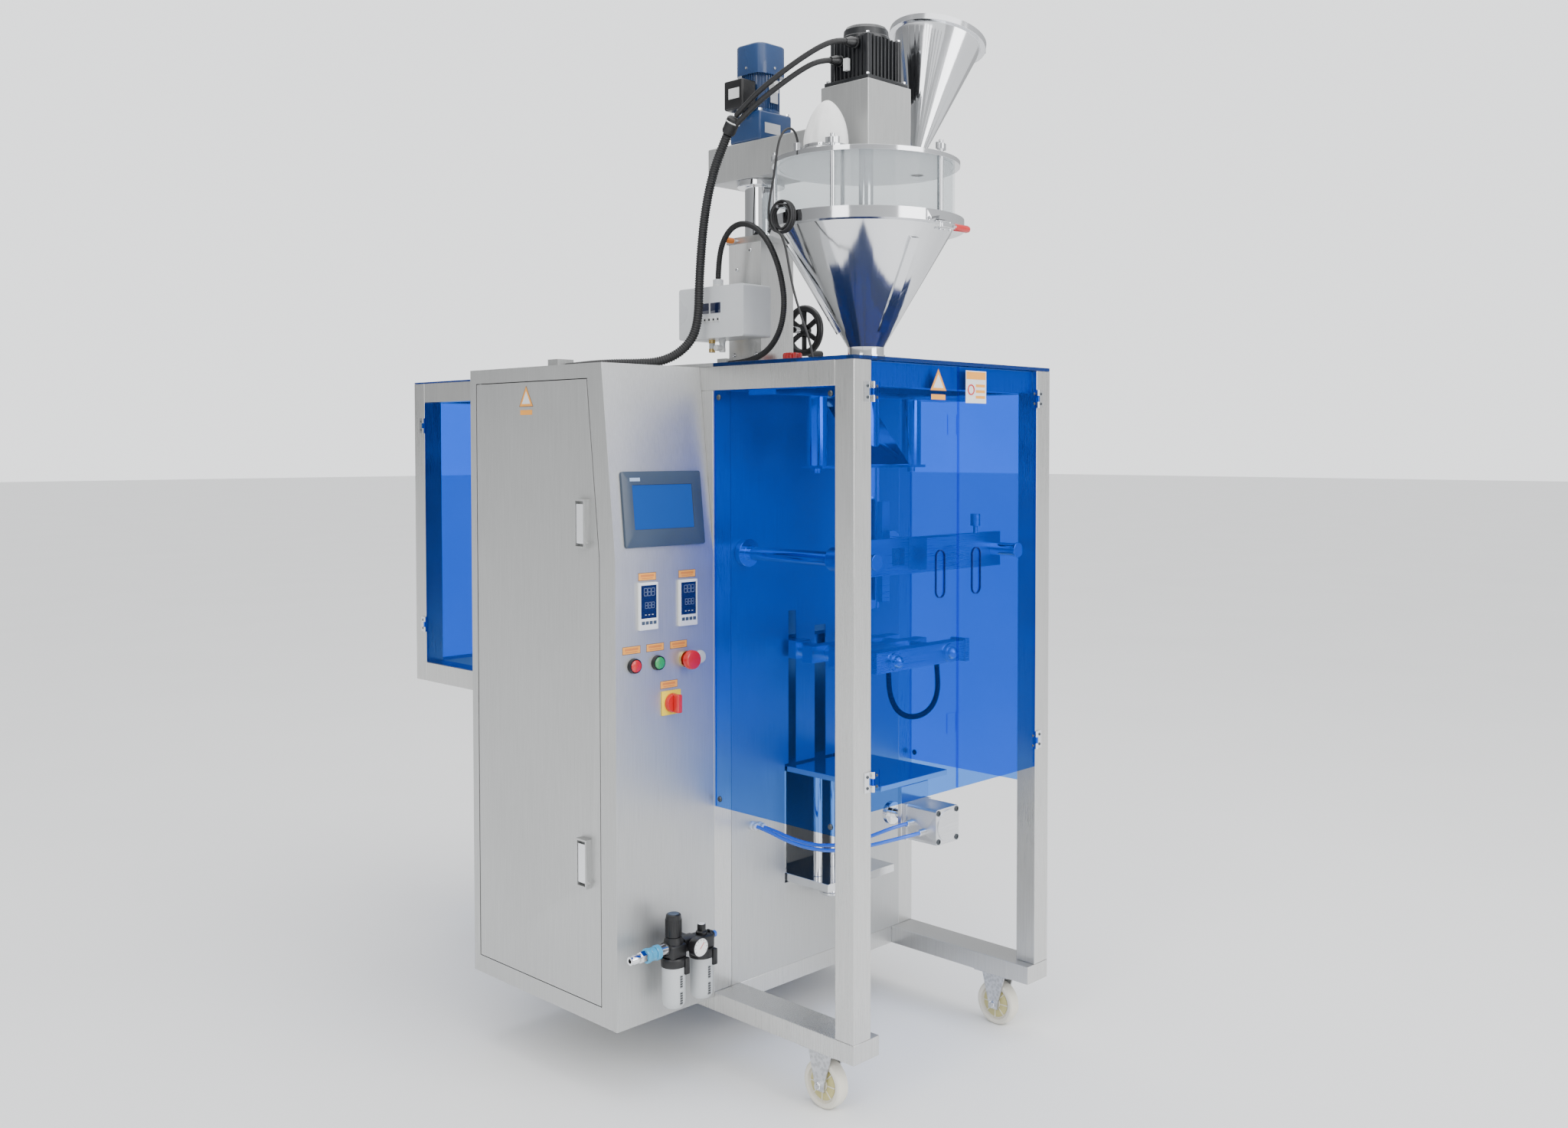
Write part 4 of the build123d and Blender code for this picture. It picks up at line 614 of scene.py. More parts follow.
# %% [markdown]
# The level sensor's lead is longer than it needs to be, so its spare length is wound into two layers of
# turns and hung on the hopper. The turns are points of the lead's own line, twelve to a turn.

# %% Run the sensor's lead and its coil
lead_top = [(-48, -507, 1976.5), (-52, -507, 1994), (-66, -508, 2005), (-84, -508, 2001), (-98, -506, 1985),
            (-105, -503, 1958), (-106, -498, 1922), (-105, -490, 1890), (-104.5, -481, 1862), (-104, -476, 1838)]
lead_low = [(-107, -501, 1784), (-109.5, -514, 1780), (-109, -523, 1768), (-105, -530, 1742), (-108, -542, 1700),
            (-120, -566, 1655), (-137, -600, 1610), (-152, -634, 1568), (-160, -656, 1533), (-162, -663, 1510)]
coil_middle, points_a_turn, turns_a_layer, coil_pitch = (-104, -509, 1815.5), 12, 3, 5.3
coil = []
for k in range(turns_a_layer * points_a_turn):
    angle = -2 * pi * k / points_a_turn
    coil.append((coil_middle[0] + coil_pitch * k / points_a_turn, coil_middle[1] + 34 * cos(angle),
                 coil_middle[2] + 34 * sin(angle)))
for k in range(turns_a_layer * points_a_turn + 3):
    angle = -2 * pi * k / points_a_turn
    coil.append((coil_middle[0] + coil_pitch * (turns_a_layer - k / points_a_turn),
                 coil_middle[1] + 26.5 * cos(angle), coil_middle[2] + 26.5 * sin(angle)))
cable("sensor_lead", ("sensor_cable", "sensor_coil"), lead_top + coil + lead_low, 0.005, "rubber",
      blend=("filler", "machine_base", (-0.106, -0.53, 1.765), (-0.16, -0.65, 1.53)))

# %% [markdown]
# Two blue hoses feed the clamp cylinder. They sag a little between the body and their elbows.

# %% Run the air hoses
hose_routes = [
    [(-83, -414.7, 503), (-82, -446, 500), (-78, -498, 488), (-70, -556, 481), (-58, -612, 483), (-38, -662, 493),
     (-8, -702, 506), (24, -729, 515), (51, -742, 519), (73.4, -743.3, 519)],
    [(-61, -414.7, 498), (-60, -446, 496), (-56, -496, 486), (-48, -548, 482), (-36, -598, 487), (-16, -643, 500),
     (12, -678, 517), (40, -703, 531), (73.2, -709.3, 533)],
]
for number, route in enumerate(hose_routes):
    cable(f"air_hose_{number}", "air_hoses", route, 0.008, "hose_blue")

# %% [markdown]
# The heated jaw's wires hang under it in a corrugated sleeve, long enough for the whole stroke.

# %% Run the jaw cable
jaw_route = [(200, -687, 859), (202, -688, 832), (200, -691, 802), (184, -694, 774), (156, -696, 758),
             (122, -697, 753), (88, -696, 758), (60, -694, 774), (44, -691, 802), (40, -688, 832), (41, -687, 859)]
cable("jaw_cable", "jaw_cables", jaw_route, 0.012, "soft_black", pitch=0.0044, ride="jaw_carriage")

# %% [markdown]
# ## Sharp solids become made parts
#
# No machined or folded edge is perfectly sharp: a small rounded edge catches a thin line of light, and
# that line is what the eye reads as metal. Each solid is copied, its doubled corners are merged, and a
# Bevel modifier rounds every edge sharper than thirty degrees.


# %% Round the edges of the solids
def machined(node, finish, slot, edge):
    """A copy of a solid, merged and with rounded edges, that stands in its place."""
    shape = bmesh.new()
    shape.from_mesh(frame["nodes"][node].data)
    bmesh.ops.remove_doubles(shape, verts=shape.verts, dist=0.00002)
    bmesh.ops.dissolve_limit(shape, angle_limit=radians(0.5), verts=shape.verts, edges=shape.edges)
    mesh = bpy.data.meshes.new(node + "_made")
    shape.to_mesh(mesh)
    shape.free()
    for face in mesh.polygons:
        face.use_smooth = True
    mesh.set_sharp_from_angle(angle=radians(30))
    mesh.materials.append(finishes[finish])
    piece = link(bpy.data.objects.new(node + "_made", mesh))
    rounding = piece.modifiers.new("edge", "BEVEL")
    rounding.width, rounding.segments = edge, 2
    rounding.limit_method, rounding.angle_limit = "ANGLE", radians(30)
    rounding.use_clamp_overlap = True
    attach(piece, body_of[node])
    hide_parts(node)


print("edges sharper than 30 degrees are rounded")

# %% [markdown]
# Each row gives a solid its finish, its material slot and the width of its edges. Folded sheet has edges
# under a millimetre, a welded tube about three.

# %% Finish the solids
made = [
    ("main_frame", "frame_steel", "brushed_stainless", 0.003),
    ("body_panels", "sheet_steel", "sheet_stainless", 0.0008),
    ("cabinet_shell", "sheet_steel", "sheet_stainless", 0.0010),
    ("cabinet_door", "sheet_steel", "sheet_stainless", 0.0010),
    ("guard_panels", "blue_acrylic", "blue_acrylic", 0.0008),
    ("left_door", "blue_acrylic", "blue_acrylic", 0.0010),
    ("right_door", "blue_acrylic", "blue_acrylic", 0.0010),
    ("reel_door", "blue_acrylic", "blue_acrylic", 0.0010),
    ("top_covers", "navy_acrylic", "dark_acrylic", 0.0010),
    ("former", "bright_steel", "polished_stainless", 0.0006),
    ("slide_frame", "bright_steel", "chrome", 0.0010),
    ("vertical_sealer", "aluminium", "aluminium", 0.0010),
    ("jaw_carriage", "aluminium", "aluminium", 0.0012),
    ("front_jaw", "aluminium", "aluminium", 0.0010),
    ("rear_jaw", "aluminium", "aluminium", 0.0010),
    ("clamp_cylinder", "aluminium", "aluminium", 0.0010),
    ("clamp_rod", "chrome", "chrome", 0.0010),
    ("lift_column", "frame_steel", "brushed_stainless", 0.0015),
    ("control_box", "box_grey", "grey_paint", 0.0010),
    ("lift_tube", "chrome", "chrome", 0.0010),
    ("feeder_arm", "sheet_steel", "brushed_stainless", 0.0012),
    ("auger_housing", "sheet_steel", "brushed_stainless", 0.0015),
    ("hopper_lid", "bright_steel", "polished_stainless", 0.0010),
    ("hopper_cylinder", "clear_acrylic", "clear_acrylic", 0.0006),
    ("hopper_cone", "bright_steel", "polished_stainless", 0.0006),
    ("feed_funnel", "bright_steel", "polished_stainless", 0.0006),
    ("upper_handle", "chrome", "chrome", 0.0015),
    ("lower_handle", "chrome", "chrome", 0.0015),
    ("caster_forks", "zinc", "zinc", 0.0010),
    ("control_gear", "light_grey", "light_grey_plastic", 0.0020),
    ("reel_shaft", "chrome", "chrome", 0.0010),
    ("hinge_leaves", "bright_steel", "polished_stainless", 0.0004),
    ("auger", "bright_steel", "polished_stainless", 0.0004),
    ("agitator", "bright_steel", "polished_stainless", 0.0008),
    ("stroke_handwheel", "chrome", "chrome", 0.0006),
]
for row in made:
    machined(*row)
print("rounded", len(made), "solids")

# %% [markdown]
# ## Shapes for the small parts
#
# The fittings are drawn in millimetres, as on a parts drawing, and brought to metres at the end. A
# handful of shapes makes nearly all of them, and the first is a block with eased edges.


# %% Name the flat shapes
# Ways that a turned shape may point.
leftwards, rightwards, forwards, upwards, downwards = (-1, 0, 0), (1, 0, 0), (0, -1, 0), (0, 0, 1), (0, 0, -1)


def stand(shape, place, axis):
    """Turn a shape from the Z axis to another axis, and put it in its place."""
    turn = Vector((0, 0, 1)).rotation_difference(Vector(axis).normalized()).to_matrix()
    bmesh.ops.rotate(shape, cent=(0, 0, 0), matrix=turn, verts=shape.verts)
    bmesh.ops.translate(shape, vec=place, verts=shape.verts)
    return shape


def ease(shape, edges, offset, segments):
    """Round some edges of a shape."""
    bmesh.ops.bevel(shape, geom=edges, offset=offset, offset_type="OFFSET", affect="EDGES", segments=segments,
                    profile=0.5, material=-1)


def upright_edges(shape, rise):
    return [edge for edge in shape.edges if abs(edge.verts[0].co.z - edge.verts[1].co.z) > rise]


def block(low, high, edge=0.0, segments=2):
    shape = bmesh.new()
    bmesh.ops.create_cube(shape, size=1)
    bmesh.ops.scale(shape, vec=Vector(high) - Vector(low), verts=shape.verts)
    bmesh.ops.translate(shape, vec=(Vector(low) + Vector(high)) / 2, verts=shape.verts)
    if edge:
        ease(shape, shape.edges[:], edge, segments)
    return shape


print("an eased block has", len(block((0, 0, 0), (20, 20, 20), 1).faces), "faces")

# %% [markdown]
# Round parts are turned: a profile of points (radius, height) is spun about the Z axis, and then stood in its
# place. A rod and a hoop are the two commonest.


# %% Name the round shapes
def turned(profile, place=(0, 0, 0), axis=(0, 0, 1), sides=40):
    shape = bmesh.new()
    points = [shape.verts.new((radius, 0, height)) for radius, height in profile]
    edges = [shape.edges.new(pair) for pair in zip(points, points[1:])]
    bmesh.ops.spin(shape, geom=points + edges, cent=(0, 0, 0), axis=(0, 0, 1), angle=2 * pi, steps=sides,
                   use_merge=True)
    bmesh.ops.remove_doubles(shape, verts=shape.verts, dist=0.001)
    bmesh.ops.recalc_face_normals(shape, faces=shape.faces)
    return stand(shape, place, axis)


def rod(start, end, radius, eased=0.0, sides=32):
    run = (Vector(end) - Vector(start)).length
    profile = [(0, 0), (radius - eased, 0), (radius, eased), (radius, run - eased), (radius - eased, run), (0, run)]
    return turned(profile if eased else [profile[0], (radius, 0), (radius, run), profile[-1]], start,
                  Vector(end) - Vector(start), sides)


def hoop(place, axis, radius, thick, sides=56):
    shape = bmesh.new()
    upright = Matrix.Translation((radius, 0, 0)) @ Matrix.Rotation(pi / 2, 4, "X")
    bmesh.ops.create_circle(shape, segments=14, radius=thick, matrix=upright)
    bmesh.ops.spin(shape, geom=shape.verts[:] + shape.edges[:], cent=(0, 0, 0), axis=(0, 0, 1), angle=2 * pi,
                   steps=sides, use_merge=True)
    bmesh.ops.recalc_face_normals(shape, faces=shape.faces)
    return stand(shape, place, axis)


def moved(shape, matrix):
    bmesh.ops.transform(shape, matrix=matrix, verts=shape.verts)
    return shape


print("a rod with eased ends has", len(rod((0, 0, 0), (0, 0, 20), 5, 1).faces), "faces")

# %% [markdown]
# `Piece` joins several shapes, each with its own finish, into one object. `make` brings it to metres, marks
# its sharp edges, and says which body it rides on and which solids it stands for.


# %% Join shapes into a piece
class Piece:
    def __init__(self):
        self.shape, self.names = bmesh.new(), []

    def add(self, shape, finish):
        """Take in a shape, all of one finish."""
        if finish not in self.names:
            self.names.append(finish)
        for face in shape.faces:
            face.material_index = self.names.index(finish)
            face.smooth = True
        part = bpy.data.meshes.new("part")
        shape.to_mesh(part)
        shape.free()
        self.shape.from_mesh(part)
        bpy.data.meshes.remove(part)
        return self

    def make(self, name, body, slot, nodes=(), soft=30):
        bmesh.ops.scale(self.shape, vec=(0.001, 0.001, 0.001), verts=self.shape.verts)
        mesh = bpy.data.meshes.new(name)
        self.shape.to_mesh(mesh)
        self.shape.free()
        mesh.set_sharp_from_angle(angle=radians(soft))
        for finish in self.names:
            mesh.materials.append(finishes[finish])
        piece = link(bpy.data.objects.new(name, mesh))
        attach(piece, body)
        if nodes:
            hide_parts(*nodes)
        print(name, len(mesh.polygons), "faces")
        return piece


print("a piece starts with", len(Piece().names), "finishes")

# %% [markdown]
# ## Touch screen and temperature controllers
#
# The screen's slate bezel stands 6 mm off the leaning panel, with the glass a little below its face. Each
# controller is a white frame round a navy window, where unlit number segments show faintly, over four
# small keys. Both are drawn flat and then laid on the panel by one matrix.


# %% Lay flat shapes on the panel
lean, lean_foot = math.atan(42 / 394), 1107


def on_panel(x, z, leaning=False):
    """Lay the drawing plane on the control panel, whose upper part leans back."""
    angle = lean if leaning else 0
    y = panel_y + (z - lean_foot) * math.tan(angle)
    axes = Matrix(((1, 0, 0), (0, sin(angle), cos(angle)), (0, -cos(angle), sin(angle)))).transposed().to_4x4()
    return Matrix.Translation((x, y, z)) @ axes


def bezel(width, height, thick, window, drop, corner=3.0, shift=(0, 0)):
    """A plate with rounded corners and a sunken window."""
    shape = block((-width / 2, -height / 2, 0), (width / 2, height / 2, thick))
    ease(shape, upright_edges(shape, thick / 2), corner, 4)
    top = max(shape.faces, key=lambda face: face.calc_center_median().z)
    rim, border = 0.8, 1.0
    ease(shape, top.edges[:], rim, 2)
    top = max(shape.faces, key=lambda face: (face.calc_center_median().z, face.calc_area()))
    bmesh.ops.inset_region(shape, faces=[top], thickness=border)
    lost = 2 * (rim + border)
    bmesh.ops.scale(shape, vec=(window[0] / (width - lost), window[1] / (height - lost), 1), verts=top.verts,
                    space=Matrix.Translation(-top.calc_center_median()))
    bmesh.ops.translate(shape, vec=(*shift, 0), verts=top.verts)
    sunk = bmesh.ops.extrude_discrete_faces(shape, faces=[top])["faces"][0]
    bmesh.ops.translate(shape, vec=(0, 0, -drop), verts=sunk.verts)
    return shape


def number_segments(x, y, z, height):
    """The seven bars of one figure 8."""
    wide, bar = height * 0.52, height * 0.09
    bars = [((0, k * height / 2), (wide, bar)) for k in (-1, 0, 1)]
    bars += [((i * wide / 2, k * height / 4), (bar, height * 0.42)) for i in (-1, 1) for k in (-1, 1)]
    for (across, above), (long, tall) in bars:
        start_x, start_y = x + across - long / 2, y + above - tall / 2
        yield block((start_x, start_y, z), (start_x + long, start_y + tall, z + 0.3))


print("a figure has", len(list(number_segments(0, 0, 0, 12))), "bars")

# %% [markdown]
# The screen and both controllers become one piece with the collars under the buttons, because in the solids
# they are one node. Everything flat is drawn about its own middle and then laid on the panel.

# %% Make the screen and the controllers
screen = Piece()
at = on_panel(-325, 1205, True)
screen.add(moved(bezel(209, 154, 6, (158, 92), 1.4, 5, (0, 4)), at), "slate")
screen.add(moved(block((-78, -41, 4.7), (78, 49, 4.9)), at), "screen_blue")
screen.add(moved(block((-84, 57, 6), (-58, 64, 6.2)), at), "screen_pale")
for x, z in ((-374, 1009), (-268.5, 1008.5)):
    at = on_panel(x, z)
    screen.add(moved(bezel(48, 96, 6, (41, 68), 1.2, 1.5, (0, 9)), at), "white")
    screen.add(moved(block((-20, -24.5, 4.9), (20, 42.5, 5.1)), at), "display_navy")
    for k in range(3):
        for bar in (*number_segments(-8 + 9.5 * k, 29, 5.1, 15), *number_segments(-6 + 8.5 * k, 2, 5.1, 12)):
            screen.add(moved(bar, at), "unlit")
    for k in range(3):
        screen.add(moved(block((-10 + 9 * k, -18, 5.1), (-6 + 9 * k, -16.5, 5.3)), at), "light_grey")
    for k in range(4):
        screen.add(moved(block((-19 + 10 * k, -37, 5.5), (-11 + 10 * k, -30, 6.8), 0.8), at), "slate")

print("finishes on the panel:", screen.names)

# %% [markdown]
# ## Buttons, lamp and main switch
#
# The push buttons are domed caps in dark collars. The emergency stop is a wide mushroom on a gold ring, and
# the main switch is a red turning knob on a yellow plate. Each moving cap is a piece of its own, so that it
# can be pressed or turned.

# %% Make the collars and the switch plate
def panel_place(node):
    """The point of the panel that lies behind a button."""
    x, _, z = middle(node)
    return x, panel_y, z


stop_place, start_place = panel_place("stop_button"), panel_place("start_button")
emergency_place, switch_place = panel_place("emergency_stop"), panel_place("switch_knob")
lamp_place = (-234, panel_y, emergency_place[2])
for place in (stop_place, start_place):
    collar = turned([(0, 0), (15.5, 0), (15.5, 4), (14.5, 9), (12.9, 9), (12.9, 1), (0, 1)], place, forwards)
    screen.add(collar, "black")
screen.add(turned([(0, 0), (17, 0), (17.5, 2), (17, 6), (14, 6.5), (10.7, 6.5), (10.7, 0.4), (0, 0.4)],
                  emergency_place, forwards), "brass")
screen.add(turned([(0, 0), (14, 0), (14, 3), (13, 4.5), (0, 4.5)], lamp_place, forwards), "light_grey")
screen.add(turned([(0, 4), (12, 4), (11.5, 6.5), (8, 7.8), (0, 8)], lamp_place, forwards), "lamp_white")
screen.add(moved(block((-25, -25, 0), (25, 25, 4), 1.2), on_panel(switch_place[0], switch_place[2])), "yellow")
screen.add(turned([(0, 4), (21.5, 4), (21.5, 5.2), (0, 5.2)], switch_place, forwards), "yellow")
screen.make("panel_fittings", "machine_base", "slate_plastic", ["panel_instruments"])

# %% [markdown]
# A push cap stands a little over 5 mm off the panel, which leaves room for its 4 mm of travel. The mushroom's
# shank goes into a bore of the gold ring when it is struck.


# %% Make the moving caps
def push_cap(node, place, finish, slot):
    cap = Piece()
    cap.add(turned([(0, 5.4), (12.3, 5.4), (12.3, 9.5), (11.2, 11.3), (8, 12.3), (0, 12.8)], place, forwards), finish)
    cap.make(node + "_cap", node, slot, [node])


push_cap("stop_button", stop_place, "red", "red_plastic")
push_cap("start_button", start_place, "green", "green_plastic")
mushroom = Piece()
mushroom.add(turned([(0, 7), (10, 7), (10, 15), (18, 15.5), (20, 17), (20, 25), (18.5, 28.5), (15, 30), (0, 29)],
                    emergency_place, forwards, 56), "red")
mushroom.make("emergency_stop_cap", "emergency_stop", "red_plastic", ["emergency_stop"])
knob = Piece()
switch_x, _, switch_z = switch_place
knob.add(turned([(0, 5.3), (19.5, 5.3), (19.5, 12), (18, 15.5), (0, 15.5)], switch_place, forwards, 48), "red")
knob.add(block((switch_x - 6, panel_y - 31.5, switch_z - 19), (switch_x + 6, panel_y - 15, switch_z + 19), 2.5, 3),
         "red")
knob.make("main_switch_knob", "switch_knob", "red_plastic", ["switch_knob"])

# %% [markdown]
# ## Labels
#
# Over each control is a strip of orange film with a pale border. The real ones are printed, and here they
# are left blank. The triangular stickers are plain too. A label is a plate a fifth of a millimetre thick.

# %% Stick on the labels
labels = Piece()
for x, z in ((-374, 1069), (-268.5, 1068.5), (-415, 923), (-354, 923), (-292, 923), (-318, 843)):
    at = on_panel(x, z)
    labels.add(moved(block((-23, -8, 0), (23, 8, 0.2)), at), "label_edge")
    labels.add(moved(block((-22, -7, 0.2), (22, 7, 0.4)), at), "label_orange")
    labels.add(moved(block((-17, -0.5, 0.4), (17, 4, 0.5)), at), "label_dull")
    labels.add(moved(block((-15, -4.5, 0.4), (15, -2.8, 0.5)), at), "label_dull")
labels.make("panel_labels", "machine_base", "orange_plastic")

# %% [markdown]
# A triangular sticker is three plates on one another, each smaller and a tenth of a millimetre higher. One
# is on the cabinet door and one on a guard door, with a square one beside it.


# %% Stick on the triangles
def triangle(piece, at, side):
    """A pale sticker with an orange triangle."""
    for share, lift, finish in ((1, 0.1, "label_edge"), (0.92, 0.2, "label_orange"), (0.6, 0.3, "white")):
        shape = bmesh.new()
        radius = side * share / 1.732
        bmesh.ops.create_cone(shape, cap_ends=True, segments=3, radius1=radius, radius2=radius, depth=0.2)
        piece.add(moved(moved(shape, Matrix.Translation((0, 0, lift))), at), finish)
    foot = -side * 0.62
    piece.add(moved(block((-side * 0.42, foot, 0), (side * 0.42, foot + side * 0.2, 0.2)), at), "label_orange")


to_side = Matrix(((0, -1, 0), (0, 0, 1), (-1, 0, 0))).transposed().to_4x4()
to_front = Matrix(((1, 0, 0), (0, 0, 1), (0, -1, 0))).transposed().to_4x4()
sticker = Piece()
triangle(sticker, Matrix.Translation((shell_x, -98, 1432)) @ to_side, 52)
sticker.make("cabinet_sticker", "cabinet_door", "orange_plastic")
sticker = Piece()
triangle(sticker, Matrix.Translation((60, front_y, 1462)) @ to_front, 54)
sticker.make("left_door_sticker", "left_door", "orange_plastic")
sticker = Piece()
backing_y, print_y = front_y - 0.3, front_y - 0.5
sticker.add(block((150, backing_y, 1424), (220, front_y, 1492)), "white")
sticker.add(block((152, print_y, 1474), (218, backing_y, 1490)), "label_orange")
sticker.add(hoop((168, print_y, 1452), forwards, 10, 1.6, 32), "red")
for z in (1434, 1446, 1458):
    sticker.add(block((184, print_y, z), (216, backing_y, z + 6)), "label_orange")
sticker.make("right_door_sticker", "right_door", "orange_plastic")

# %% [markdown]
# ## Air service unit
#
# The compressed air passes a filter with a regulator and then an oiler. Both have black cast heads and pale
# bowl guards with slots where the level shows. On the left is a blue quick coupling, and between the heads a
# small gauge looks forward.

# %% Make the bowls and their heads
air = Piece()
filter_x, air_y = middle("regulator_knob")[:2]
oiler_x, gauge_x, port_z = -275, -314, 316
for x in (filter_x, oiler_x):
    air.add(turned([(0, 192), (8, 192), (17, 194.5), (22, 200), (24, 209), (24, 282), (0, 282)], (x, air_y, 0)),
            "light_grey")
    air.add(turned([(0, 279), (25.5, 279), (26, 281), (26, 293), (24, 297), (0, 297)], (x, air_y, 0)), "black")
    for z in (203, 237):
        air.add(block((x - 3.6, air_y - 24.6, z), (x + 3.6, air_y - 20, z + 27), 1.6), "slot_grey")
        for k in range(5):
            air.add(block((x - 3, air_y - 24.9, z + 3 + 5 * k), (x + 3, air_y - 24.4, z + 5 + 5 * k)), "black")
    air.add(block((x + 9, air_y - 27, 262), (x + 21, air_y - 15, 296), 2), "black")
    air.add(block((x - 20, air_y - 20, 295), (x + 20, air_y + 20, 325), 5, 3), "black")
    for side in (-1, 1):
        air.add(rod((x + side * 18, air_y, port_z), (x + side * 22, air_y, port_z), 13, 1), "black")
air.add(turned([(0, 324), (20, 324), (20, 330), (17, 336), (17, 338), (0, 338)], (filter_x, air_y, 0)), "black")
air.add(turned([(0, 324), (12, 324), (12, 330), (9, 332), (9, 343), (8, 345.5), (0, 345.5)], (oiler_x, air_y, 0)),
        "black")
air.add(turned([(0, 345), (7.5, 345), (7, 346), (0, 346)], (oiler_x, air_y, 0)), "white")
air.add(block((-331, air_y - 15, 303), (-294, air_y + 15, 329), 3), "black")
air.add(block((-329, air_y + 15, 306), (-299, panel_y, 326), 1.5), "black")
print("finishes on the air unit:", air.names)

# %% [markdown]
# The gauge is a round case with a white face, nine marks and a red needle. The marks are thin blocks turned
# about the middle of the face.

# %% Add the gauge
gauge_place, face_height = (gauge_x, air_y, port_z), 43.4
air.add(turned([(0, 14), (8, 14), (8, 25), (19, 25), (20, 27), (20, 44), (18.6, 44.5), (18.2, 43), (0, 43)],
               gauge_place, forwards, 48), "black")
air.add(turned([(0, 42.5), (18, 42.5), (18, face_height), (0, face_height)], gauge_place, forwards, 48), "white")
on_face = Matrix.Translation((gauge_x, air_y - face_height, port_z)) @ to_front
for angle in range(-30, 240, 30):
    mark = moved(block((13.5, -0.4, 0), (16.5, 0.4, 0.3)), Matrix.Rotation(radians(angle), 4, "Z"))
    air.add(moved(mark, on_face), "black")
needle = moved(block((-4, -0.6, 0.2), (12, 0.6, 0.7)), Matrix.Rotation(radians(48), 4, "Z"))
air.add(moved(needle, on_face), "red")
print("gauge face at y", round(air_y - face_height, 1))

# %% [markdown]
# Air comes in through a quick coupling: a chromed neck, a blue sleeve with a waist, a hexagon and a nipple.

# %% Add the coupling
for start, end, radius, eased, sides, finish in (
        (-370, -388, 12, 1, 32, "chrome"), (-388, -400, 15, 2, 32, "coupling_blue"),
        (-400, -414, 13.5, 2, 32, "coupling_blue"), (-414, -424, 15, 2, 32, "coupling_blue"),
        (-424, -437, 12, 1, 6, "chrome"), (-255, -245, 9, 1, 32, "black"), (-245, -237, 7, 1, 32, "hose_blue")):
    air.add(rod((start, air_y, port_z), (end, air_y, port_z), radius, eased, sides), finish)
air.add(turned([(0, 0), (8, 0), (8, 6), (9.5, 7), (9.5, 18), (8.5, 20), (8.5, 25), (4.5, 25), (4.5, 10), (0, 10)],
               (-437, air_y, port_z), leftwards), "chrome")
air.make("air_service_unit", "machine_base", "black_plastic", ["air_unit"])

# %% [markdown]
# The regulator's knob is ribbed, so that it can be turned with oily fingers.

# %% Make the regulator's knob
knob = Piece()
knob.add(turned([(0, 338.5), (15.5, 338.5), (16.2, 341), (16.2, 376), (15, 383), (13, 384.5), (0, 384.5)],
                (filter_x, air_y, 0)), "black")
knob.add(turned([(0, 384), (11.5, 384), (11, 385.5), (0, 385.8)], (filter_x, air_y, 0)), "slate")
ribs = 24
for k in range(ribs):
    rib = block((15.4, -0.9, 341), (17, 0.9, 374), 0.5)
    turn = Matrix.Rotation(2 * pi * k / ribs, 4, "Z")
    knob.add(moved(rib, Matrix.Translation((filter_x, air_y, 0)) @ turn), "black")
knob.make("regulator_cap", "regulator_knob", "black_plastic", ["regulator_knob"])

# %% [markdown]
# ## Casters
#
# A nylon wheel is moulded with a thick rim, a thin web and a boss, so it has a dished face on each side with
# ribs across it. A greenish-yellow ring covers the bearing. The forks keep their solid, with axle nuts added.

# %% Make the wheels
nuts, axle_z, stem_z = Piece(), 50, 113
for node in ("front_left_wheel", "front_right_wheel", "rear_left_wheel", "rear_right_wheel"):
    x, y, _ = middle(node)
    wheel = Piece()
    half = [(5.2, -15), (14, -15), (14, -10), (36, -8.5), (38.5, -14), (45, -15), (48.5, -13), (50, -9)]
    profile = half + [(radius, -height) for radius, height in reversed(half)] + half[:1]
    wheel.add(turned(profile, (x, y, axle_z), rightwards, 64), "ivory")
    for side in (-1, 1):
        ring = [(14.2, 9.4), (33, 8.9), (33, 10.2), (31, 11.2), (16, 11.6), (14.2, 11), (14.2, 9.4)]
        wheel.add(turned(ring, (x, y, axle_z), (side, 0, 0), 48), "hub_yellow")
        for k in range(8):
            rib = block((15, -1, 9), (34, 1, 12.4), 0.4)
            turn = Matrix.Rotation(pi / 2 * side, 4, "Y") @ Matrix.Rotation(2 * pi * k / 8, 4, "Z")
            wheel.add(moved(rib, Matrix.Translation((x, y, axle_z)) @ turn), "ivory")
        nuts.add(turned([(0, 0), (8.5, 0), (8.5, 5), (7, 6.2), (0, 6.2)], (x + side * 20.6, y, axle_z),
                        (side, 0, 0), 6), "chrome")
    wheel.make(node + "_nylon", node, "ivory_nylon", [node])
    nuts.add(turned([(0, 0), (22, 0), (22, 4), (16, 8), (0, 8)], (x, y, stem_z)), "zinc")
nuts.make("caster_nuts", "machine_base", "zinc")

# %% [markdown]
# ## Gear motor
#
# The blue motor turns the stirrer in the hopper. Its middle is a barrel with upright cooling fins, painted,
# under an eight-sided fan cover. Fins are thin blocks turned round the axis.


# %% Make the gear motor
def round_about(place, count, shape_for):
    for k in range(count):
        yield moved(shape_for(), Matrix.Translation(place) @ Matrix.Rotation(2 * pi * k / count, 4, "Z"))


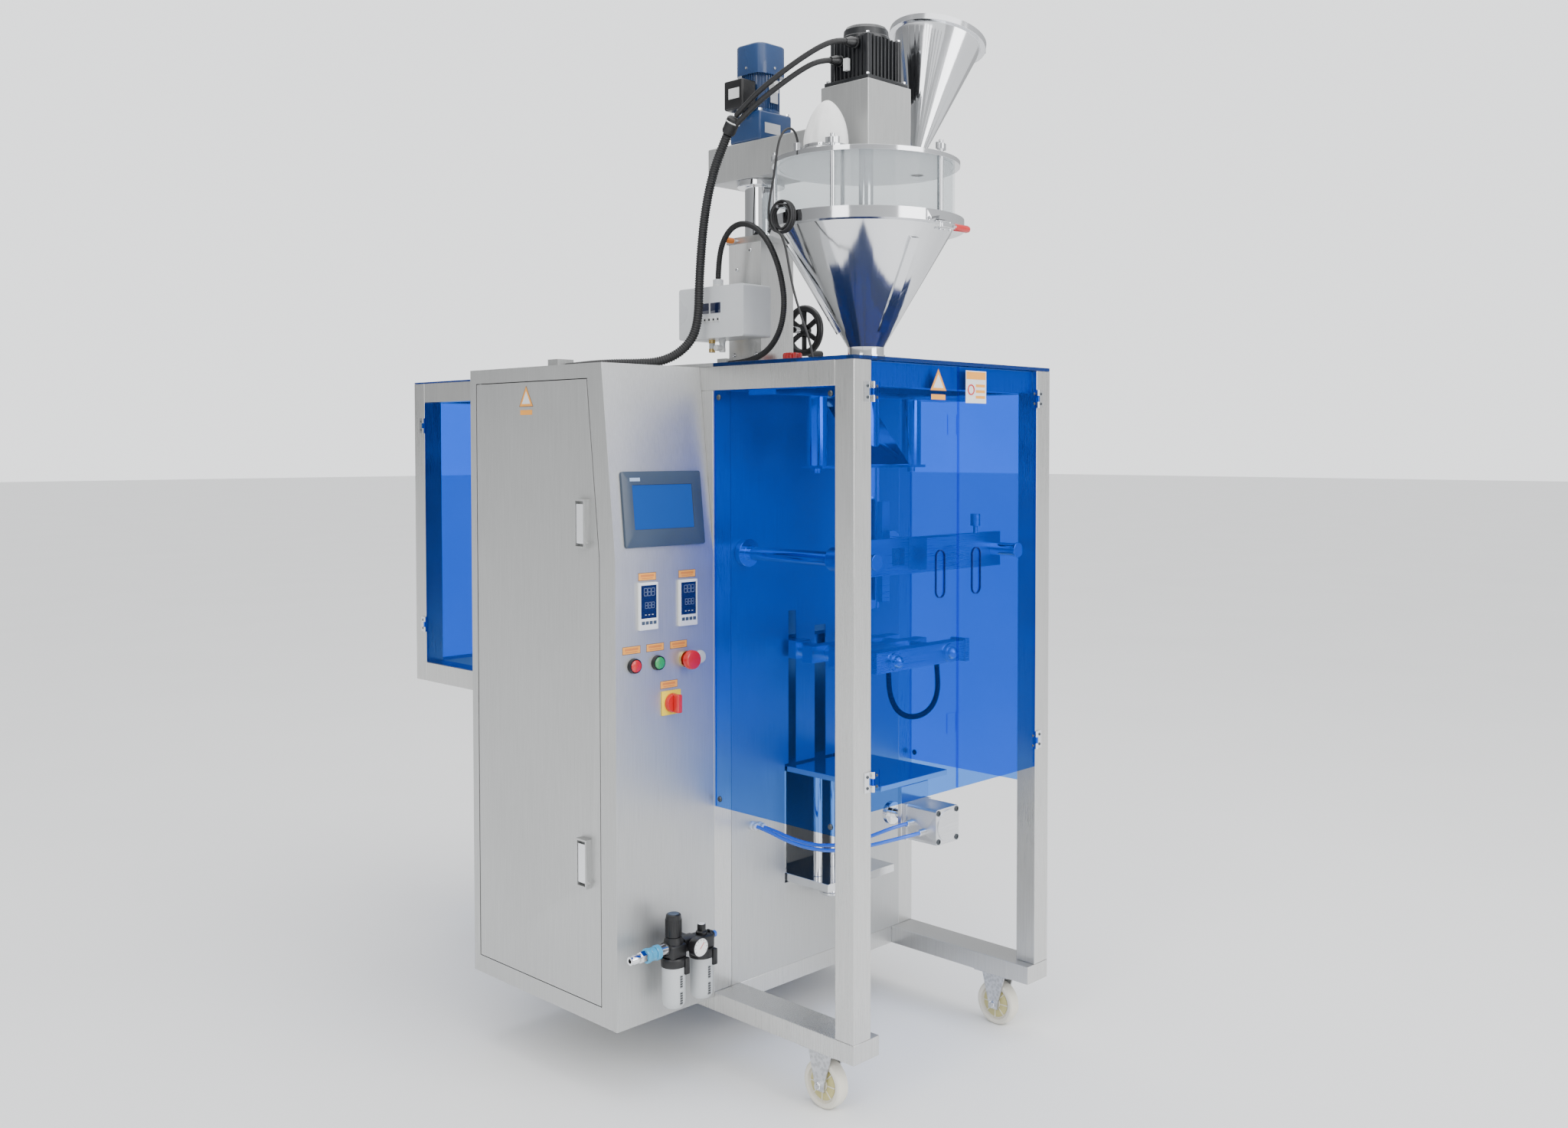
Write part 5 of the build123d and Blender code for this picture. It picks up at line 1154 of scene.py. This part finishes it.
motor, mx, my = Piece(), column_x, column_y
motor.add(block((mx - 52, my - 52, 2041.5), (mx + 52, my + 52, 2111), 6, 3), "motor_blue")
motor.add(turned([(0, 2111), (45, 2111), (45, 2118), (41, 2122), (41, 2201), (0, 2201)], (mx, my, 0)), "motor_blue")
for fin in round_about((mx, my, 0), 40, lambda: block((40, -0.9, 2119), (44.5, 0.9, 2201), 0.4)):
    motor.add(fin, "motor_blue")
cover = block((mx - 46, my - 46, 2200), (mx + 46, my + 46, 2271))
ease(cover, upright_edges(cover, 30), 22, 3)
lid = max(cover.faces, key=lambda face: face.calc_center_median().z)
ease(cover, lid.edges[:], 6, 3)
motor.add(cover, "motor_blue")
for bolt in round_about((mx, my, 0), 4, lambda: turned([(0, 0), (3, 0), (3, 2), (0, 2.6)], (46, 0, 2215), rightwards,
                                                       12)):
    motor.add(bolt, "chrome")
print("finishes on the gear motor:", motor.names)

# %% [markdown]
# The black terminal box hangs on its side, with a gland below for the cable, and blank plates where the
# maker's data would be.

# %% Add the terminal box
motor.add(block((42, -237, 2112), (86, -175, 2180), 4, 3), "black")
motor.add(block((40.5, -235, 2114), (44, -177, 2178), 1.5), "black")
motor.add(block((40.2, -228, 2136), (40.7, -192, 2160)), "white")
motor.add(rod((62, -206, 2098), (62, -206, 2113), 7, 1), "chrome")
motor.add(block((93, -258.6, 2060), (143, -258, 2084)), "aluminium")
motor.add(block((mx - 12, my - 45.6, 2134), (mx + 12, my - 44, 2186)), "aluminium")
for dx in (-44, 44):
    for dy in (-44, 44):
        motor.add(turned([(0, 0), (5, 0), (5, 5), (0, 5)], (mx + dx, my + dy, 2111), upwards, 6), "chrome")
motor.make("finned_gear_motor", "filler", "blue_paint", ["gear_motor"])

# %% [markdown]
# ## Servo motor
#
# The servo motor turns the auger. It is an extruded black body, ribbed along its length, with a bolt in each
# corner and two round plugs for its cables. One side is drawn and repeated at four quarter turns.

# %% Make the servo motor
servo, sx, sy = Piece(), filling_x, filling_y
servo.add(block((sx - 65, sy - 65, 2118.4), (sx + 65, sy + 65, 2128), 1.5), "motor_black")
servo.add(block((sx - 52, sy - 52, 2128), (sx + 52, sy + 52, 2219), 3), "motor_black")
for side in range(4):
    turn = Matrix.Translation((sx, sy, 0)) @ Matrix.Rotation(pi / 2 * side, 4, "Z")
    for k in range(7):
        rib_y = 12 * k - 36
        servo.add(moved(block((50, rib_y - 1.6, 2130), (56, rib_y + 1.6, 2218), 0.8), turn), "motor_black")
    servo.add(moved(block((42, 42, 2128), (56, 56, 2220), 3, 3), turn), "motor_black")
    servo.add(moved(rod((50, 50, 2220), (50, 50, 2224), 4.4, 0.6, 6), turn), "chrome")
    servo.add(moved(rod((59, 59, 2128), (59, 59, 2133), 4, 0.6, 6), turn), "chrome")
servo.add(turned([(0, 2219), (53, 2219), (53, 2224), (50, 2227), (49, 2240), (44, 2247), (30, 2248), (0, 2248)],
                 (sx, sy, 0), upwards, 56), "motor_black")
for y, z in ((-563, 2202), (-519, 2170)):
    servo.add(turned([(0, 0), (12, 0), (12, 5), (10.5, 6), (10.5, 11), (9, 12), (9, 14), (0, 14)], (74, y, z),
                     leftwards), "black")
    servo.add(turned([(0, 0), (11.5, 0), (11.5, 10), (9, 16), (7.5, 24), (0, 24)], (66, y, z), (-0.985, 0.12, -0.1)),
              "black")
servo.add(block((65, -545, 2146), (73.8, -533, 2172)), "white")
servo.make("ribbed_servo_motor", "filler", "black_paint", ["servo_motor"])

# %% [markdown]
# ## Filter sock
#
# Air leaves the hopper through a white cloth sock while powder falls in. It stands up when the machine
# blows, narrow at its closed top, with soft upright folds gathered under a steel clamp. The form is a
# turned bell whose points are pushed in and out by a sum of waves, growing towards the clamp.

# %% Make the sock
sock_x, sock_y = middle("filter_sock")[:2]
bell = [(50, 0.3), (48.5, 4), (46.5, 9), (47.5, 16), (47.8, 28), (46, 42), (42.5, 56), (37.5, 70), (31, 83),
        (23.5, 94), (15, 103), (7.5, 108.5), (0, 110.5)]
sock_shape = turned(bell, sides=72)
for vert in sock_shape.verts:
    around = math.atan2(vert.co.y, vert.co.x)
    height = vert.co.z / 110
    fold = sin(9 * around + 2.2 * height) + 0.6 * sin(17 * around - 5 * height) + 0.8 * sin(5 * around + 3)
    depth = 0.022 * fold * (1 - height) * min(1, vert.co.z / 6) + 0.02 * sin(3 * around + 6 * height) * height
    vert.co.x *= 1 + depth - 0.01
    vert.co.y *= 1 + depth - 0.01
    vert.co.x += 3.5 * height * height
sock_shape = stand(sock_shape, (sock_x, sock_y, 1954.2), upwards)
sock = Piece().add(sock_shape, "cloth").make("hopper_sock", "filler", "white_cloth", ["filter_sock"], soft=80)
smoother = sock.modifiers.new("smooth", "SUBSURF")
smoother.levels = smoother.render_levels = 1

# %% [markdown]
# A worm clamp holds the sock to a flanged ring on the lid.

# %% Clamp the sock
band = Piece()
band.add(turned([(47.2, -3.5), (48.8, -3.5), (49.3, 0), (48.8, 3.5), (47.2, 3.5), (47.2, -3.5)],
                (sock_x, sock_y, 1963), upwards, 64), "bright_steel")
band.add(block((-62, -580, 1959), (-54, -562, 1967), 1), "chrome")
band.add(rod((-58, -584, 1963), (-58, -556, 1963), 2.4), "chrome")
band.add(turned([(49, 0), (58, 0), (58, 1.6), (49, 1.6), (49, 0)], (sock_x, sock_y, 1954.3), upwards, 64),
         "bright_steel")
band.make("sock_clamp", "filler", "polished_stainless")

# %% [markdown]
# ## Toggle clamp
#
# The points of colour on a steel machine are where a hand goes. The hopper's ring is closed by a toggle: two
# side plates, a latch bar with its pins, and a red grip.

# %% Make the toggle clamp
toggle, lug_y = Piece(), middle("toggle_clamp")[1]
toggle.add(block((99, lug_y - 8, 1786.5), (134, lug_y + 8, 1789.5), 0.8), "chrome")
toggle.add(block((99, lug_y - 8, 1800.5), (134, lug_y + 8, 1803.4), 0.8), "chrome")
toggle.add(block((112, lug_y - 5, 1789), (160, lug_y + 5, 1801), 2), "chrome")
for x in (110, 124, 142):
    toggle.add(rod((x, lug_y, 1785), (x, lug_y, 1803.6), 3.2, 0.5), "chrome")
toggle.add(rod((148, lug_y - 5, 1795), (190, lug_y - 5, 1795), 2.4), "chrome")
toggle.add(turned([(0, 0), (6, 0), (7.6, 3), (7.8, 30), (8, 44), (6.5, 50), (3, 53), (0, 53.6)], (155, lug_y, 1795),
                  rightwards), "red")
toggle.make("toggle_grip", "toggle_clamp", "red_plastic", ["toggle_clamp"])

# %% [markdown]
# ## Lock pin and star knob
#
# An orange lever tip on the column locks the lift. A red star knob clamps the top plate: it has a round
# middle with six lobes round it.

# %% Make the pin and the knob
_, pin_y, pin_z = middle("lock_pin")
pin = Piece()
pin.add(rod((48, pin_y, pin_z), (90, pin_y, pin_z), 4, 0.5), "chrome")
pin.add(turned([(0, 0), (6.5, 0), (7, 2), (6.8, 16), (5.5, 23), (3, 26), (0, 26.6)], (68, pin_y, pin_z), leftwards),
        "orange")
pin.make("lever_tip", "lock_pin", "orange_plastic", ["lock_pin"])


def lobe():
    return turned([(0, 1536), (5, 1536), (6.3, 1538), (6.3, 1547), (4, 1550.5), (0, 1550.8)], (17, 0, 0), sides=20)


star, star_place = Piece(), (*middle("clamp_knob")[:2], 0)
star.add(turned([(4.1, 1509.5), (10, 1509.5), (10, 1530), (8, 1536), (4.1, 1536), (4.1, 1509.5)], star_place),
         "chrome")
star.add(turned([(0, 1536), (17, 1536), (18, 1538), (18, 1548), (14, 1551), (0, 1551)], star_place), "red")
for shape in round_about(star_place, 6, lobe):
    star.add(shape, "red")
star.make("star_knob", "clamp_knob", "red_plastic", ["clamp_knob"])

# %% [markdown]
# ## Lift wheel
#
# The filler is wound up and down by a black wheel with six spokes and a handle on its rim. Three bars
# through the middle make the six spokes.

# %% Make the lift wheel
wheel = Piece()
hub, handle_z = (275, column_y, 1616), 1561
wheel.add(hoop(hub, rightwards, 54, 8.6, 64), "black")
wheel.add(turned([(0, -14), (14, -14), (16, -11), (16, 9), (13, 12), (0, 12)], hub, rightwards, 36), "black")
for k in range(3):
    turn = Matrix.Rotation(pi / 2, 4, "Y") @ Matrix.Rotation(pi / 3 * k, 4, "Z")
    spoke = block((-52, -6.5, -3.5), (52, 6.5, 3.5), 2)
    wheel.add(moved(spoke, Matrix.Translation(hub) @ turn), "black")
wheel.add(rod((165, *hub[1:]), (262, *hub[1:]), 8, 0.5), "chrome")
wheel.add(rod((hub[0], column_y, handle_z), (290, column_y, handle_z), 5, 0.5), "chrome")
wheel.add(turned([(0, 0), (7, 0), (9, 6), (8, 20), (9, 34), (9, 44), (6, 47), (0, 47.5)], (289, column_y, handle_z),
                 rightwards), "soft_black")
wheel.make("lift_wheel", "lift_handwheel", "black_plastic", ["lift_handwheel"])

# %% [markdown]
# ## Screws
#
# Every sheet is held by screws, and each hinge leaf by two. A small low dome is enough at this size. They
# ride on whatever they are fixed to, so each body gets its own piece.


# %% Put in the screws
def screw(place, axis, radius):
    profile = [(0, 0), (1, 0), (1, 0.25), (0.7, 0.6), (0, 0.72)]
    return turned([(radius * across, radius * up) for across, up in profile], place, axis, 16)


fittings = Piece()
leaf_y, door_hinges, bay_hinges, leaf_screws = front_y - 2, (676, 1439), (858, 1389), (-11, 11)
for y in (-740, -415):
    for z in (584, 1436):
        fittings.add(screw((-191, y, z), leftwards, 6.5), "dark_steel")
        fittings.add(screw((446, y, z), rightwards, 6.5), "dark_steel")
for dz in leaf_screws:
    for z in door_hinges:
        for x in (-157.3, 418.3):
            fittings.add(screw((x, leaf_y, z + dz), forwards, 3.2), "dark_steel")
    for z in bay_hinges:
        fittings.add(screw((-197, 767, z + dz), leftwards, 3.2), "dark_steel")
for y, z in ((-225, 1790), (-180, 1748), (-245, 1548), (-170, 1548)):
    fittings.add(screw((77.5, y, z), leftwards, 5), "bright_steel")
print("finishes on the screws:", fittings.names)

# %% [markdown]
# ## Glands and keys
#
# The control box has two small displays, five keys, and glands for its hoses. The air hoses end in white
# elbows, and the clamp cylinder has a cap screw in each corner.

# %% Add the glands and keys
fittings.add(block((-9, -216, 1640), (-7.6, -182, 1664), 0.4), "display_navy")
fittings.add(block((-9, -176, 1640), (-7.6, -142, 1664), 0.4), "display_navy")
for k in range(5):
    fittings.add(block((-9.6, -214 + 15 * k, 1620), (-7.6, -203 + 15 * k, 1631), 0.6), "white")
    fittings.add(block((-9.9, -211 + 15 * k, 1623), (-9.4, -206 + 15 * k, 1628)), "black")
fittings.add(turned([(0, 0), (12.5, 0), (12.5, 8), (10, 10), (10, 19), (8, 21), (0, 21)], (30, -166, 1702)), "white")
for y, finish in ((-180, "white"), (-144, "brass")):
    fittings.add(turned([(0, 0), (8, 0), (8, 8), (6, 9), (6, 20), (7.5, 21), (7.5, 29), (0, 29)], (30, y, 1583),
                        downwards), finish)
fittings.add(rod((30, -180, 1562), (8, -180, 1562), 7, 1), "white")
for x, z in ((-83, 503), (-61, 498)):
    fittings.add(turned([(0, 0), (9.5, 0), (9.5, 5), (8, 6), (8, 14), (6.5, 15.5), (0, 15.5)], (x, panel_y, z),
                        forwards), "white")
for dx in (-30, 30):
    for dz in (-30, 30):
        fittings.add(turned([(0, 0), (6, 0), (6, 1.6), (3.4, 1.6), (3.4, 0.4), (0, 0.4)],
                            (filling_x + dx, -775.3, 531 + dz), forwards, 24), "dark_steel")
for y, z in ((-743.3, 519), (-709.3, 533)):
    fittings.add(rod((72.5, y, z), (92, y, z), 7, 1), "chrome")
fittings.make("frame_fittings", "machine_base", "chrome")

# %% [markdown]
# ## Fittings on the filler
#
# A rubber sleeve with a cable tie gathers the motor cables into the conduit. The funnel's rim has a
# spring clip.

# %% Add the sleeve and the clip
sleeve, sleeve_axis = Piece(), (-0.02, 0.549, -0.836)
sleeve.add(turned([(0, 0), (12, 0), (15.5, 4), (15.5, 34), (13, 40), (0, 40)], (-30, -289.5, 2068), sleeve_axis),
           "soft_black")
sleeve.add(hoop((-30.4, -283, 2058), sleeve_axis, 15.6, 1.6, 32), "white")
sleeve.add(block((-16, -402, 2108), (-2, -386, 2134)), "white")
sleeve.add(block((410, -640, 2236), (432, -616, 2254), 2), "chrome")
sleeve.add(rod((400, -650, 2246), (440, -610, 2240), 3.4, 0.5), "chrome")
sleeve.make("filler_fittings", "filler", "white_cloth")

# %% [markdown]
# ## Finger slots of the guard doors
#
# Each guard door has an upright finger slot with a dark rim and a thin clear pane. Both are turned as rings
# and then pulled apart upwards, which makes a slot out of a circle.


# %% Line the finger slots
slot_z, half_run, slot_y = 1070, 35, front_y + 4.5


def slot_shape(profile, x):
    shape = turned(profile, (x, slot_y, slot_z), forwards, 48)
    for corner in shape.verts:
        corner.co.z += half_run if corner.co.z > slot_z else -half_run
    return shape


for name, side, screw_x in (("left_door", -1, -130.7), ("right_door", 1, 392.7)):
    leaf = Piece()
    slot_x = filling_x + side * 60
    leaf.add(slot_shape([(13.2, 0), (14.8, 0), (14.8, 4.3), (13.2, 4.3), (13.2, 0)], slot_x), "navy_acrylic")
    leaf.add(slot_shape([(0, 1), (13.1, 1), (13.1, 3), (0, 3)], slot_x), "blue_acrylic")
    for z in door_hinges:
        for dz in leaf_screws:
            leaf.add(screw((screw_x, leaf_y, z + dz), forwards, 3.2), "dark_steel")
    leaf.make(name + "_screws", name, "chrome")

# %% [markdown]
